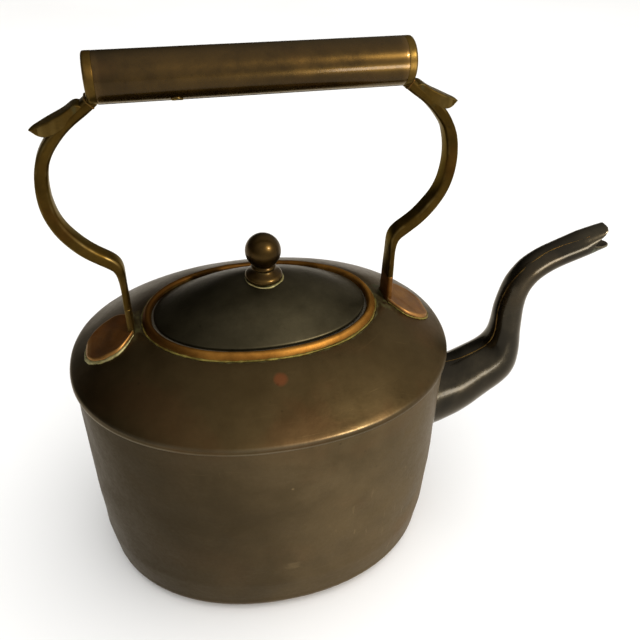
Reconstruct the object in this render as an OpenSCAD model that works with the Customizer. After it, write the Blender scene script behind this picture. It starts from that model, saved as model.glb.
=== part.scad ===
// Oval copper kettle: sheet copper body with a domed shoulder, a gooseneck
// spout, a rigid tubular grip carried on two cast brass C brackets, and a
// loose lid that plugs into the throat.
// Origin: centre of the flat base, on the surface the kettle stands on.
// +X points to the spout (front), +Z up, the grip runs along X.

/* [Body] */
// Length of the body over the rim, along X
body_len = 220; // [210:1:230]
// Width of the body over the rim, along Y
body_wid = 177; // [168:1:184]
// Height of the rim line above the base
rim_z = 148.2; // [144:0.1:152]
// Squareness of the oval plan, 2 is a true ellipse
oval_n = 2.13; // [2:0.01:2.3]
// Thickness of the sheet copper
sheet = 1.4; // [1.2:0.1:1.6]
// Radius of the bottom corner
corner_r = 11; // [9:0.5:12]
// Depth of the shoulder lip that laps over the wall
lip_h = 3.4; // [2.5:0.1:5]
// Rise of the domed shoulder from the rim to the throat
rise = 22.3; // [18:0.1:25]
// Bulge of the shoulder, 1 is a straight cone
bulge = 1.35; // [1.1:0.05:1.6]

/* [Throat] */
// Half length of the collar bead over its outer edge
collar_a = 66.5; // [65:0.5:67.5]
// Half width of the collar bead over its outer edge
collar_b = 46.7; // [46:0.1:48]
// Width of the half-round collar bead
bead_w = 5; // [4.5:0.1:5]
// Height of the collar bead
bead_h = 4; // [3.4:0.1:4.6]
// Offset of the throat from the centre, along X
throat_x = -0.6; // [-1:0.1:1]
// Depth of the neck that guides the lid
neck_h = 13; // [9:0.5:16]

/* [Lid] */
// Half length of the lid
lid_a = 60.2; // [59.8:0.1:60.4]
// Half width of the lid
lid_b = 39.6; // [39.4:0.1:40.2]
// Height of the lid dome above its edge
lid_rise = 18.3; // [15:0.1:19]
// Depth of the flange that plugs into the throat
flange_h = 12; // [8:0.5:14]
// Radius of the knob ball
ball_r = 9.8; // [9:0.1:10.5]
// Height of the ball centre above the lid
ball_up = 16.9; // [16.7:0.1:18]
// Offset of the knob from the centre, along X
knob_x = 1.6; // [0:0.1:2]

/* [Handle] */
// Height of the grip axis
grip_z = 305.4; // [302:0.1:308]
// Half length of the grip over its end caps
grip_half = 75.7; // [75:0.1:76.5]
// Outer radius of the grip tube
grip_r = 11.3; // [11:0.1:11.5]
// Wall of the grip tube
grip_wall = 1.3; // [1:0.1:1.6]
// Thickness of the end caps
cap_t = 4.4; // [3.8:0.1:5]
// Depth of the bracket strap, along Y
strap_w = 10; // [9:0.5:11]
// Width of the strap where it meets the foot
strap_foot_w = 14; // [12:0.5:16]
// Offset of the handle from the centre, along X
handle_x = 0.7; // [-1:0.1:1]
// Turn of the whole handle about the vertical
handle_yaw = 1.2; // [-1.5:0.1:1.5]
// Half width of the leaf feet
foot_half = 16.5; // [14:0.5:18]
// Thickness of the leaf feet
foot_t = 2; // [1.6:0.1:2.4]
// Height at which the rear foot's stub meets its bracket
rear_joint_z = 184; // [172:0.5:186]
// Height at which the front foot's stub meets its bracket
front_joint_z = 184; // [172:0.5:186]

/* [Spout] */
// Wall of the spout tube
spout_wall = 1.3; // [1.1:0.1:1.6]
// Height of the spout root on the wall
root_z = 84; // [82:0.5:86]
// Half height of the spout root
root_h = 24.2; // [23:0.1:25]
// Half width of the spout root
root_w = 20; // [18:0.5:21]
// Length of the lower lip past the upper jaw
lip_out = 1; // [0:0.1:2]

/* [Hidden] */
N = 56;          // points round each oval
M = 20;          // points round the spout
A = body_len / 2;
B = body_wid / 2;
wall_in = 1.35;  // step of the wall behind the shoulder lip
land_z = rim_z + rise;              // flat land round the throat
seat_a = collar_a - bead_w;         // throat opening
seat_b = collar_b - bead_w;
ledge_z = land_z + 0.6;             // top of the ledge the lid rests on
lid_z = ledge_z + 0.3;              // underside of the lid hem
lid_top = lid_z + 1.8 + lid_rise;
hem = 2.7;                          // width of the lid hem
hinge_gap = 0.3;
eps = 0.001;

copper_dark = [0.36, 0.28, 0.20];
copper_warm = [0.66, 0.40, 0.24];
brass_old = [0.50, 0.38, 0.18];
lid_dark = [0.24, 0.24, 0.20];

// ---- ovals and lofts -------------------------------------------------

function sgn(v) = v < 0 ? -1 : 1;
function pw(v, e) = sgn(v) * pow(abs(v), e);
function oval(a, b, n = oval_n, m = N) =
    [for (i = [0:m - 1]) let (t = 360 * i / m)
        [a * pw(cos(t), 2 / n), b * pw(sin(t), 2 / n)]];
function ring(a, b, z, cx = 0, n = oval_n) =
    [for (p = oval(a, b, n)) [p[0] + cx, p[1], z]];

function flat(l) = [for (r = l) for (p = r) p];
function side_faces(k, m, closed) =
    [for (j = [0:(closed ? k - 1 : k - 2)]) for (i = [0:m - 1])
        let (a = j * m + i, b = j * m + (i + 1) % m,
             c = ((j + 1) % k) * m + i, d = ((j + 1) % k) * m + (i + 1) % m)
        each [[a, c, d], [a, d, b]]];

// end faces laid across a slab whose ring runs out on top and back below
function strip_cap(o, m) = [for (j = [0:m / 2 - 2])
    [o + j, o + j + 1, o + m - 2 - j, o + m - 1 - j]];
function turn(f) = [for (p = f) [p[3], p[2], p[1], p[0]]];

// skin through rings of equal length; closed = true joins last to first
module loft(rings, closed = false, slab = false) {
    k = len(rings);
    m = len(rings[0]);
    polyhedron(points = flat(rings),
        faces = concat(side_faces(k, m, closed),
            slab ? concat(strip_cap(0, m), turn(strip_cap((k - 1) * m, m))) :
            closed ? [] : [[for (i = [0:m - 1]) i],
                [for (i = [m - 1:-1:0]) (k - 1) * m + i]]),
        convexity = 6);
}

// oval ring with a closed cross-section; prof = [[a, b, z, centre x], ...]
module oval_band(prof, cx = 0)
    loft([for (p = prof) ring(p[0], p[1], p[2], len(p) > 3 ? p[3] : cx)],
        closed = true);

// half length, half width and height of the shoulder at 0 (rim) .. 1 (throat)
function sh_a(u) = A - u * (A - collar_a);
function sh_b(u) = B - u * (B - collar_b);
function sh_z(u) = rim_z + rise * (1 - pow(max(0, 1 - u), bulge));
function inside(x, y, u) =
    pow(abs(x) / sh_a(u), oval_n) + pow(abs(y) / sh_b(u), oval_n) < 1;
function find_u(x, y, lo = 0, hi = 1, k = 14) =
    k == 0 ? (lo + hi) / 2 :
    inside(x, y, (lo + hi) / 2) ? find_u(x, y, (lo + hi) / 2, hi, k - 1)
                                : find_u(x, y, lo, (lo + hi) / 2, k - 1);
function shoulder_z(x, y) = sh_z(find_u(x, y));

// inset of the wall at each height
function wall_inset(z) =
    z < 12 ? 4.3 : z < 30 ? 4.3 - 2.2 * pow((z - 12) / 18, 0.7)
    : z < 67 ? 2.1 - 0.75 * (z - 30) / 37 : wall_in;
function wall_x(y, z) = (A - wall_inset(z)) *
    pow(1 - pow(abs(y) / (B - wall_inset(z)), oval_n), 1 / oval_n);

// ---- body ------------------------------------------------------------

// shallow pan: flat base with a rounded corner turned up to meet the wall
module base_pan() color(copper_dark) {
    r0 = wall_inset(0) + corner_r;
    linear_extrude(sheet) polygon(oval(A - r0, B - r0));
    oval_band([
        [A - r0, B - r0, 0],
        each [for (t = [18:18:90]) let (o = r0 - corner_r * sin(t))
            [A - o, B - o, corner_r * (1 - cos(t))]],
        each [for (t = [90:-22.5:0]) let (ri = corner_r - sheet,
                o = r0 - ri * sin(t))
            [A - o, B - o, corner_r - ri * cos(t)]]]);
}

module spout_hole() translate([A - 20, 0, 0])
    rotate([90, 0, 90]) linear_extrude(40)
        polygon([for (i = [0:23]) [(root_w - 4) * cos(15 * i),
            root_z + (root_h - 4) * sin(15 * i)]]);

// upright oval wall, with the opening to the spout
module body_wall() color(copper_dark) difference() {
    zs = [corner_r, 15, 21, 30, 67, rim_z - 1.2];
    oval_band(concat(
        [for (z = zs) let (o = wall_inset(z)) [A - o, B - o, z]],
        [for (i = [len(zs) - 1:-1:0]) let (o = wall_inset(zs[i]) + sheet)
            [A - o, B - o, zs[i]]]));
    spout_hole();
}

// domed top with a rounded edge and a lip turned down over the wall
module shoulder() color(copper_dark) {
    us = [0.06, 0.14, 0.26, 0.4, 0.56, 0.74, 0.9];
    oval_band(concat(
        [[A, B, rim_z - lip_h], [A, B, rim_z - 2],
         [A - 0.35, B - 0.35, rim_z - 0.5], [A - 1.2, B - 1.2, rim_z + 0.8]],
        [for (u = us) [sh_a(u), sh_b(u), sh_z(u)]],
        [[collar_a, collar_b, land_z], [seat_a, seat_b, land_z, throat_x],
         [seat_a, seat_b, land_z - sheet, throat_x],
         [collar_a - 0.4, collar_b - 0.4, land_z - sheet]],
        [for (i = [len(us) - 1:-1:0]) let (u = us[i])
            [sh_a(u) - 0.6, sh_b(u) - 0.6, sh_z(u) - 1.5]],
        [[A - wall_in, B - wall_in, rim_z - 1.1],
         [A - wall_in, B - wall_in, rim_z - lip_h]]));
}

// half-round bead brazed round the throat
module collar_bead() color(copper_warm) {
    c = [[0, 0], [0.1, 0.35], [0.2, 0.62], [0.36, 0.86], [0.55, 1],
        [0.76, 0.9], [0.93, 0.66], [1, 0.36], [1, 0]];
    oval_band([for (p = c) [collar_a - p[0] * bead_w,
        collar_b - p[0] * bead_w, land_z + p[1] * bead_h]], throat_x);
}

// ledge and neck that the lid drops into
module throat_ring() color(copper_dark)
    oval_band([for (p = [[0, 0], [3.4, 0], [3.4, -neck_h], [2.2, -neck_h],
            [2.2, -1.2], [0, -1.2]])
        [seat_a - p[0] - 0.02, seat_b - p[0] - 0.02, ledge_z + p[1]]], throat_x);

// ---- spout -----------------------------------------------------------

// stations along the spout: x, z, pitch, half height, half width
st = [
    [113, root_z + 2.2, 16, root_h - 0.6, root_w - 0.5],
    [122, root_z + 5.4, 21, 22.3, 19],
    [132, root_z + 9.8, 26, 20.6, 18],
    [142, 100, 31, 19.2, 16.8],
    [149.5, 104.6, 35, 18.4, 16],
    [155.3, 110, 40, 17.4, 15],
    [158, 116, 46, 15.8, 13.8],
    [158.8, 122.5, 53, 13.9, 12.4],
    [158.7, 129, 61, 12.1, 11.2],
    [158.3, 136, 68, 10.8, 10.3],
    [157.9, 143, 76, 10, 9.7],
    [157.8, 150, 82, 9.4, 9.2],
    [158.4, 157, 80, 9, 8.9],
    [159.6, 163.4, 75, 8.8, 8.7],
    [162, 169.2, 66, 8.8, 8.6],
    [165.4, 174.3, 55, 8.8, 8.6],
    [170.6, 179, 42, 8.7, 8.5],
    [178, 183.3, 29, 8.5, 8.4],
    [187, 187, 23, 8.4, 8.4],
    [196, 190.4, 20, 8.5, 8.4]];
mouth_st = [203.5, 193, 19, 8.5, 8.2];
function st_ring(s, w) = [for (i = [0:M - 1]) let (t = 360 * i / M,
        h = (s[3] - w) * cos(t))
    [s[0] - h * sin(s[2]), (s[4] - w) * sin(t), s[1] + h * cos(s[2])]];
function root_ring(w) = [for (i = [0:M - 1]) let (t = 360 * i / M,
        y = (root_w - w) * sin(t), z = root_z + (root_h - w) * cos(t))
    [wall_x(y, z) - 0.25, y, z]];
// beak mouth: rounded upper jaw, notched sides, channelled lower lip. How far
// the edge stands past the mouth's own station, by the angle from the top
function mouth_d(t) = lookup(acos(cos(t)), [[0, 9.6], [25, 9.9], [45, 9],
    [60, 6.4], [72, 3], [84, 0], [93, -1.2], [100, -0.2], [112, 2.6],
    [130, 5.8], [150, 7.6 + lip_out], [168, 9.3 + lip_out], [180, 9.6 + lip_out]]);
function mouth_ring(w) = let (s = mouth_st)
    [for (i = [0:M - 1]) let (t = 360 * i / M, h = (s[3] - 0.3 - w) * cos(t),
            d = mouth_d(t))
        [s[0] - h * sin(s[2]) + d * cos(s[2]), (s[4] - 0.6 - w) * sin(t),
         s[1] + h * cos(s[2]) + d * sin(s[2])]];

// gooseneck tube, open from the wall to the mouth
module spout() color(copper_dark)
    loft(concat([root_ring(0)], [for (s = st) st_ring(s, 0)], [mouth_ring(0)],
        [mouth_ring(spout_wall)],
        [for (i = [len(st) - 1:-1:0]) st_ring(st[i], spout_wall)],
        [root_ring(spout_wall)]), closed = true);

// narrow flange brazed round the root of the spout
function flange_ring(w, out) = [for (i = [0:M - 1]) let (t = 360 * i / M,
        y = (root_w + w) * sin(t), z = root_z + (root_h + w) * cos(t))
    [wall_x(y, z) - 0.25 + out, y, z]];
module spout_flange() color(copper_dark)
    loft([flange_ring(0.15, 0), flange_ring(4, 0), flange_ring(3.6, 1.1),
        flange_ring(1.6, 1.9), flange_ring(0.15, 3)], closed = true);

// ---- handle ----------------------------------------------------------

module on_handle() translate([handle_x, 0, 0]) rotate([0, 0, handle_yaw])
    children();
module along_x(x0) translate([x0, 0, grip_z]) rotate([0, 90, 0]) children();
module flip(side) rotate([0, 0, side < 0 ? 180 : 0]) children();

// strap centreline from the grip down to the foot: x, z, thickness
strap = [[73.6, 296.4, 5.2], [78.5, 292.5, 5.1], [83.5, 288.7, 4.8],
    [88.2, 284.9, 5], [92.4, 280.8, 5.3], [96.2, 276.2, 5.5],
    [99.3, 271, 5.7], [101.3, 265.4, 5.9], [102.6, 258.6, 6],
    [103, 251.4, 6.1], [102.4, 244.6, 6.1], [100.8, 238.2, 6.1],
    [98.1, 232.2, 6.2], [94.4, 226.7, 6.3], [89.2, 220.8, 6.4],
    [83.4, 216, 6.3], [78.9, 212.7, 6.2], [75.8, 209.4, 5.4],
    [74.5, 205, 4.2], [74.1, 199, 3.3], [74.05, 192, 3.2],
    [74.05, 184, 3.2], [74.05, 176, 3.3], [74.05, 172, 3.4], [74.05, 164, 3.4]];
function unit(v) = v / norm(v);
function tang(i) = unit([strap[min(i + 1, len(strap) - 1)][0] - strap[max(i - 1, 0)][0],
    strap[min(i + 1, len(strap) - 1)][1] - strap[max(i - 1, 0)][1]]);
function edge(s) = [for (i = [0:len(strap) - 1]) let (t = tang(i))
    [strap[i][0] - s * t[1] * strap[i][2] / 2,
     strap[i][1] + s * t[0] * strap[i][2] / 2]];
module strap_2d() polygon(concat(edge(1),
    [for (i = [len(strap) - 1:-1:0]) edge(-1)[i]]));
// cast strap, wider in Y where it nears the foot
module strap_solid() intersection() {
    rotate([90, 0, 0]) translate([0, 0, -12]) linear_extrude(24) strap_2d();
    rotate([90, 0, 90]) linear_extrude(130) polygon([
        [-strap_w / 2, 310], [-strap_w / 2, 212], [-strap_w / 2 - 0.4, 200],
        [-strap_foot_w / 2 + 0.5, 184], [-strap_foot_w / 2, 172],
        [-strap_foot_w / 2, 150], [strap_foot_w / 2, 150],
        [strap_foot_w / 2, 172], [strap_foot_w / 2 - 0.5, 184],
        [strap_w / 2 + 0.4, 200], [strap_w / 2, 212], [strap_w / 2, 310]]);
}
// one bracket, from the end cap down to the joint with its foot
module bracket(side, joint_z) color(brass_old) on_handle() flip(side)
    difference() {
        strap_solid();
        along_x(50) cylinder(r = grip_r + 0.02, h = 60, $fn = 64);
        translate([50, -15, 100]) cube([50, 30, joint_z - 100]);
    }
module rear_bracket() bracket(-1, rear_joint_z);
module front_bracket() bracket(1, front_joint_z);

// leaf-shaped thumb rest brazed on the shoulder of the bracket
module thumb_leaf(side) color(brass_old) on_handle() flip(side)
    intersection() {
        rotate([90, 0, 0]) translate([0, 0, -8]) linear_extrude(16)
            polygon(concat([for (i = [1:4]) edge(1)[i]],
                [[95.6, 281.4], [98.2, 281.2], [101.2, 282], [103, 283.2],
                 [102.6, 284.6], [99.2, 286.5], [94.9, 288.3], [89.8, 290.6],
                 [85.2, 293.2], [81.5, 295.6]]));
        translate([0, 0, 270]) linear_extrude(40) polygon([[79, -5],
            [92, -5.1], [97, -4.8], [100.5, -3.7], [102.6, -1.9],
            [103.2, 0], [102.6, 1.9], [100.5, 3.7], [97, 4.8], [92, 5.1],
            [79, 5]]);
    }
module rear_thumb_leaf() thumb_leaf(-1);
module front_thumb_leaf() thumb_leaf(1);

// outline of the leaf foot: half width at each distance out
function foot_w(x) = x < 84 ? 7.4 + (foot_half - 7.4) * sin(90 * (x - 72.9) / 11.1)
    : foot_half * pow(max(0, 1 - pow((x - 84) / 16.4, 2.4)), 1 / 2.2);
foot_xs = [72.9, 74.6, 76.6, 79, 82, 85.5, 89, 92.5, 95.4, 97.8, 99.4, 100.2];
FK = 8;
// world point over the shoulder for a handle-frame point, lifted by h
function on_dome(x, y, h) = let (X = x * cos(handle_yaw) - y * sin(handle_yaw) + handle_x,
        Y = x * sin(handle_yaw) + y * cos(handle_yaw))
    [X, Y, shoulder_z(X, Y) + h];
function foot_row(side, x) = let (w = foot_w(x)) concat(
    [for (k = [-FK:FK]) let (v = k / FK, q = abs(v),
            e = pow((x - 72.9) / 27.3, 4))
        on_dome(side * x, v * w, foot_t * (0.95 + 0.55 * pow(q, 3) * (1 - e) + 0.3 * e))],
    [for (k = [FK:-1:-FK]) on_dome(side * x, k / FK * w, -0.2)]);
module foot(side, joint_z) color(copper_warm) {
    rows = [for (x = foot_xs) foot_row(side, x)];
    loft(side > 0 ? [for (i = [len(rows) - 1:-1:0]) rows[i]] : rows,
        slab = true);
    on_handle() flip(side) difference() {
        strap_solid();
        translate([50, -20, joint_z]) cube([80, 40, 200]);
        translate([50, -20, 100]) cube([80, 40, shoulder_z(74, 0) + 0.9 - 100]);
    }
}
module rear_foot() foot(-1, rear_joint_z);
module front_foot() foot(1, front_joint_z);

// round cap closing the end of the grip, with a spigot inside the tube
module end_cap(side) color(brass_old) on_handle() flip(side)
    translate([0, 0, grip_z]) rotate([0, 90, 0])
        rotate_extrude($fn = 96) polygon([
            [0, grip_half - cap_t - 4], [grip_r - grip_wall - 0.1, grip_half - cap_t - 4],
            [grip_r - grip_wall - 0.1, grip_half - cap_t], [grip_r, grip_half - cap_t],
            [grip_r, grip_half - 0.8], [grip_r - 0.8, grip_half], [0, grip_half + 0.4]]);
module rear_end_cap() end_cap(-1);
module front_end_cap() end_cap(1);

// hollow copper grip with a small vent hole underneath
module grip_tube() color(copper_dark) on_handle() {
    l = 2 * (grip_half - cap_t);
    difference() {
        along_x(-l / 2) cylinder(r = grip_r, h = l, $fn = 96);
        along_x(-l / 2 - 1) cylinder(r = grip_r - grip_wall, h = l + 2, $fn = 96);
        translate([-37, 0, grip_z]) rotate([-148, 0, 0])
            cylinder(r = 2, h = 20, $fn = 32);
    }
}

// ---- lid -------------------------------------------------------------

// height of the lid's outer face; v = 0 centre .. 1 edge
function lid_out(v) = lid_z + 1.8 +
    lid_rise * (v < 0.2 ? 1 : 1 - pow((v - 0.2) / 0.8, 1.35));
lid_vs = [0.97, 0.9, 0.8, 0.68, 0.56, 0.44, 0.34, 0.26, 0.2];

module lid_cover() color(lid_dark) difference() {
    loft([for (p = concat(
            [[0.2, lid_top - 1.3]],
            [for (i = [len(lid_vs) - 2:-1:0]) let (v = lid_vs[i])
                if (v < 0.93) [v - 0.012, lid_out(v) - 1.4]],
            [[(lid_a - hem) / lid_a, lid_out(0.94) - 1.6]],
            [[(lid_a - hem) / lid_a, lid_z], [1, lid_z], [1, lid_z + 1.1]],
            [[0.99, lid_z + 1.8]],
            [for (v = lid_vs) [v, lid_out(v)]]))
        ring(lid_a * p[0], lid_b * p[0], p[1], throat_x, 2.1)]);
    translate([knob_x, 0, lid_top - 10]) cylinder(r = 3.1, h = 20, $fn = 48);
}

// upright flange soldered under the cover, a loose fit in the neck
module lid_flange() color(lid_dark) {
    s = (lid_a - hem) / lid_a;
    a = lid_a * s - 0.02;
    b = lid_b * s - 0.02;
    z1 = lid_out(0.94) - 2;
    loft([ring(a, b, lid_z - flange_h, throat_x, 2.1), ring(a, b, z1, throat_x, 2.1),
        ring(a - 1, b - 1, z1, throat_x, 2.1),
        ring(a - 1, b - 1, lid_z - flange_h, throat_x, 2.1)], closed = true);
}

// turned knob: ball, neck ring and moulded foot
module lid_knob() color(brass_old) translate([knob_x, 0, lid_top])
    difference() {
        rotate_extrude($fn = 96) polygon(concat(
            [[0, 0], [9.6, 0], [10.4, 0.9], [10.4, 2.2], [9.9, 3.2],
             [8.2, 4.3], [6.8, 5.4], [6.2, 6.4], [6.6, 7.1], [6.6, 8.1],
             [5.9, 8.8]],
            [for (t = [-52:8:84]) [ball_r * cos(t), ball_up + ball_r * sin(t)]],
            [[0, ball_up + ball_r]]));
        translate([0, 0, -1]) cylinder(r = 3, h = 9, $fn = 48);
    }

// washer and riveted tang under the lid
module knob_washer() color(brass_old) translate([knob_x, 0, lid_top - 2.5])
    difference() {
        cylinder(r = 7, h = 1.2, $fn = 64);
        translate([0, 0, -1]) cylinder(r = 3, h = 4, $fn = 48);
    }
module knob_rivet() color(brass_old) translate([knob_x, 0, lid_top - 2.5])
    rotate_extrude($fn = 64) polygon([[0, -1.8], [2.6, -1.7], [4.2, -1],
        [4.8, 0], [2.9, 0], [2.9, 10.4], [0, 10.4]]);

base_pan();
body_wall();
shoulder();
collar_bead();
throat_ring();
spout();
spout_flange();
rear_foot();
front_foot();
rear_bracket();
front_bracket();
rear_thumb_leaf();
front_thumb_leaf();
rear_end_cap();
front_end_cap();
grip_tube();
lid_cover();
lid_flange();
lid_knob();
knob_washer();
knob_rivet();
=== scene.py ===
import math

import bmesh
import bpy
import numpy as np
from mathutils import Matrix, Vector


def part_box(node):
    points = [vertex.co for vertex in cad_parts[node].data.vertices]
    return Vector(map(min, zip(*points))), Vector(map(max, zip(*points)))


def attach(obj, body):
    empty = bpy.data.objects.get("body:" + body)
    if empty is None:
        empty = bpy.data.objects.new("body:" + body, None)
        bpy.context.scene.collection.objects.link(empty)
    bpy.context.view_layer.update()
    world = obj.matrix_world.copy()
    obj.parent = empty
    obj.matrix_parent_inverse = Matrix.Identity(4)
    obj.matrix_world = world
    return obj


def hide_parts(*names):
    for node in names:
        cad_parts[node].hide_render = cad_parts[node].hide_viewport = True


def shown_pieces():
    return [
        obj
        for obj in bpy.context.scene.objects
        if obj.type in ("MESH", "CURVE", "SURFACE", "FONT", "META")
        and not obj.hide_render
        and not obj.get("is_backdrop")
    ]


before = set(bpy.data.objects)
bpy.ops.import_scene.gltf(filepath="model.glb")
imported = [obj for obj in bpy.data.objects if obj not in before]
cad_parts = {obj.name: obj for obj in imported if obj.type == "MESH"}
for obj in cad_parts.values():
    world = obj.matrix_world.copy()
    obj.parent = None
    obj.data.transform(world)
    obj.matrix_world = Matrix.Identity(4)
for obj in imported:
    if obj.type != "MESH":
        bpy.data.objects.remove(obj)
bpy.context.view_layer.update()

# Everything below is worked out in millimetres in the row frame, and turned
# into metres when a mesh is made.
MM = 0.001


def nbox(node):
    lo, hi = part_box(node)
    return np.array(lo) / MM, np.array(hi) / MM


sh_lo, sh_hi = nbox("shoulder")
A = (sh_hi[0] - sh_lo[0]) / 2
B = (sh_hi[1] - sh_lo[1]) / 2
RIM_Z = sh_lo[2] + 3.4
LAND_Z = sh_hi[2]
RISE = LAND_Z - RIM_Z
co_lo, co_hi = nbox("collar_bead")
COL_A = (co_hi[0] - co_lo[0]) / 2
COL_B = (co_hi[1] - co_lo[1]) / 2
COL_X = (co_hi[0] + co_lo[0]) / 2
BEAD_H = co_hi[2] - co_lo[2]
BEAD_W = 5.0
SEAT_A, SEAT_B = COL_A - BEAD_W, COL_B - BEAD_W
li_lo, li_hi = nbox("lid_cover")
LID_A = (li_hi[0] - li_lo[0]) / 2
LID_B = (li_hi[1] - li_lo[1]) / 2
LID_Z = li_lo[2]
LID_TOP = li_hi[2]
LID_RISE = LID_TOP - LID_Z - 1.8
kn_lo, kn_hi = nbox("lid_knob")
KNOB_X = (kn_lo[0] + kn_hi[0]) / 2
gr_lo, gr_hi = nbox("grip_tube")
GRIP_Z = (gr_lo[2] + gr_hi[2]) / 2
GRIP_R = (gr_hi[2] - gr_lo[2]) / 2
YAW = math.radians(1.2)
HANDLE_X = (gr_lo[0] + gr_hi[0]) / 2
LEDGE_Z = LAND_Z + 0.6
N_OVAL = 2.13
WALL_IN = 1.35
ROOT_Z, ROOT_H, ROOT_W = 84.0, 24.2, 20.0
CORNER = 11.0


# ---------------------------------------------------------------- numbers

def smooth(x, a, b):
    t = np.clip((np.asarray(x, float) - a) / (b - a), 0, 1)
    return t * t * (3 - 2 * t)


def hash01(i, seed=0):
    return np.modf(np.abs(np.sin(np.asarray(i, float) * 127.1 + seed * 311.7 + 0.37) * 43758.5453))[0]


def vnoise(x, seed=0):
    """Smooth value noise of one number, -1..1."""
    x = np.asarray(x, float)
    i = np.floor(x)
    f = x - i
    f = f * f * (3 - 2 * f)
    return 2 * (hash01(i, seed) * (1 - f) + hash01(i + 1, seed) * f) - 1


def ring_noise(t, n, seed=0):
    """Value noise round a closed ring: t in 0..1, n cells."""
    x = np.mod(np.asarray(t, float), 1.0) * n
    i = np.floor(x)
    f = x - i
    f = f * f * (3 - 2 * f)
    return 2 * (hash01(np.mod(i, n), seed) * (1 - f) + hash01(np.mod(i + 1, n), seed) * f) - 1


def noise3(p, seed=0):
    """Smooth value noise in space, -1..1, p is (n, 3)."""
    p = np.asarray(p, float)
    i = np.floor(p)
    f = p - i
    f = f * f * (3 - 2 * f)
    out = 0
    for dx in (0, 1):
        for dy in (0, 1):
            for dz in (0, 1):
                h = np.modf(np.abs(np.sin((i[:, 0] + dx) * 127.1 + (i[:, 1] + dy) * 311.7
                                          + (i[:, 2] + dz) * 74.7 + seed * 17.17) * 43758.5453))[0]
                w = ((f[:, 0] if dx else 1 - f[:, 0]) * (f[:, 1] if dy else 1 - f[:, 1])
                     * (f[:, 2] if dz else 1 - f[:, 2]))
                out = out + h * w
    return 2 * out - 1


def spline(x, y, q):
    """Natural cubic spline through (x, y), sampled at q."""
    x = np.asarray(x, float)
    y = np.asarray(y, float)
    q = np.asarray(q, float)
    n = len(x)
    h = np.diff(x)
    m = np.zeros((n, n))
    rhs = np.zeros((n,) + y.shape[1:])
    m[0, 0] = m[-1, -1] = 1
    for i in range(1, n - 1):
        m[i, i - 1], m[i, i], m[i, i + 1] = h[i - 1], 2 * (h[i - 1] + h[i]), h[i]
        rhs[i] = 6 * ((y[i + 1] - y[i]) / h[i] - (y[i] - y[i - 1]) / h[i - 1])
    k = np.linalg.solve(m, rhs)
    j = np.clip(np.searchsorted(x, q, side="right") - 1, 0, n - 2)
    a = (x[j + 1] - q)
    b = (q - x[j])
    hj = h[j]
    if y.ndim > 1:
        a, b, hj = a[:, None], b[:, None], hj[:, None]
    return (k[j] * a ** 3 + k[j + 1] * b ** 3) / (6 * hj) + (y[j] / hj - k[j] * hj / 6) * a + (
        y[j + 1] / hj - k[j + 1] * hj / 6) * b


def spline_path(rows, n, ease=None):
    """A smooth path through rows, n samples evenly along the first two columns' length."""
    rows = np.asarray(rows, float)
    s = np.r_[0, np.cumsum(np.hypot(np.diff(rows[:, 0]), np.diff(rows[:, 1])))]
    q = np.linspace(0, s[-1], n) if ease is None else ease * s[-1]
    return spline(s, rows, q), q


def oval(a, b, m, n=N_OVAL, cx=0.0, phase=0.0):
    """m points evenly spaced along a superellipse."""
    t = np.linspace(0, 2 * math.pi, 4001)
    c, s = np.cos(t), np.sin(t)
    x = np.sign(c) * np.abs(c) ** (2 / n)
    y = np.sign(s) * np.abs(s) ** (2 / n)
    L = np.r_[0, np.cumsum(np.hypot(np.diff(x * 0.62), np.diff(y * 0.5)))]
    q = (np.arange(m) + phase) / m * L[-1]
    return np.stack([np.interp(q, L, x) * a + cx, np.interp(q, L, y) * b], 1)


_ov = {}


def unit_oval(m, n=N_OVAL):
    if (m, n) not in _ov:
        _ov[(m, n)] = oval(1.0, 1.0, m, n)
    return _ov[(m, n)]


def ring(a, b, z, m, cx=0.0, n=N_OVAL):
    u = unit_oval(m, n)
    return np.stack([u[:, 0] * a + cx, u[:, 1] * b, np.full(m, float(z))], 1)


def grid_faces(k, m, wrap_k=False, wrap_m=True):
    out = []
    for j in range(k if wrap_k else k - 1):
        j2 = (j + 1) % k
        for i in range(m if wrap_m else m - 1):
            i2 = (i + 1) % m
            out.append((j * m + i, j * m + i2, j2 * m + i2, j2 * m + i))
    return out


# ---------------------------------------------------------------- meshes

MATS = {}


def make(name, verts, faces, mat, body, replaces=(), attrs=None, smooth_shade=True):
    verts = np.asarray(verts, float)
    me = bpy.data.meshes.new(name)
    me.from_pydata((verts * MM).tolist(), [], [tuple(int(i) for i in f) for f in faces])
    for key, val in (attrs or {}).items():
        at = me.attributes.new(key, "FLOAT", "POINT")
        at.data.foreach_set("value", np.asarray(val, np.float32))
    bm = bmesh.new()
    bm.from_mesh(me)
    bmesh.ops.remove_doubles(bm, verts=bm.verts, dist=1e-7)
    bmesh.ops.recalc_face_normals(bm, faces=bm.faces)
    bm.to_mesh(me)
    bm.free()
    me.polygons.foreach_set("use_smooth", [smooth_shade] * len(me.polygons))
    me.update()
    ob = bpy.data.objects.new(name, me)
    bpy.context.scene.collection.objects.link(ob)
    me.materials.append(mat)
    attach(ob, body)
    if replaces:
        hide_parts(*replaces)
    return ob


def loft(rings, wrap=False, pole0=None, pole1=None):
    """Verts and faces of a skin through equal rings, with an optional pole at each end."""
    m = len(rings[0])
    k = len(rings)
    v = np.concatenate(rings, 0)
    f = grid_faces(k, m, wrap_k=wrap)
    if pole0 is not None:
        v = np.vstack([v, pole0])
        p = len(v) - 1
        f += [(p, (i + 1) % m, i) for i in range(m)]
    if pole1 is not None:
        v = np.vstack([v, pole1])
        p = len(v) - 1
        o = (k - 1) * m
        f += [(p, o + i, o + (i + 1) % m) for i in range(m)]
    return v, f


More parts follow.
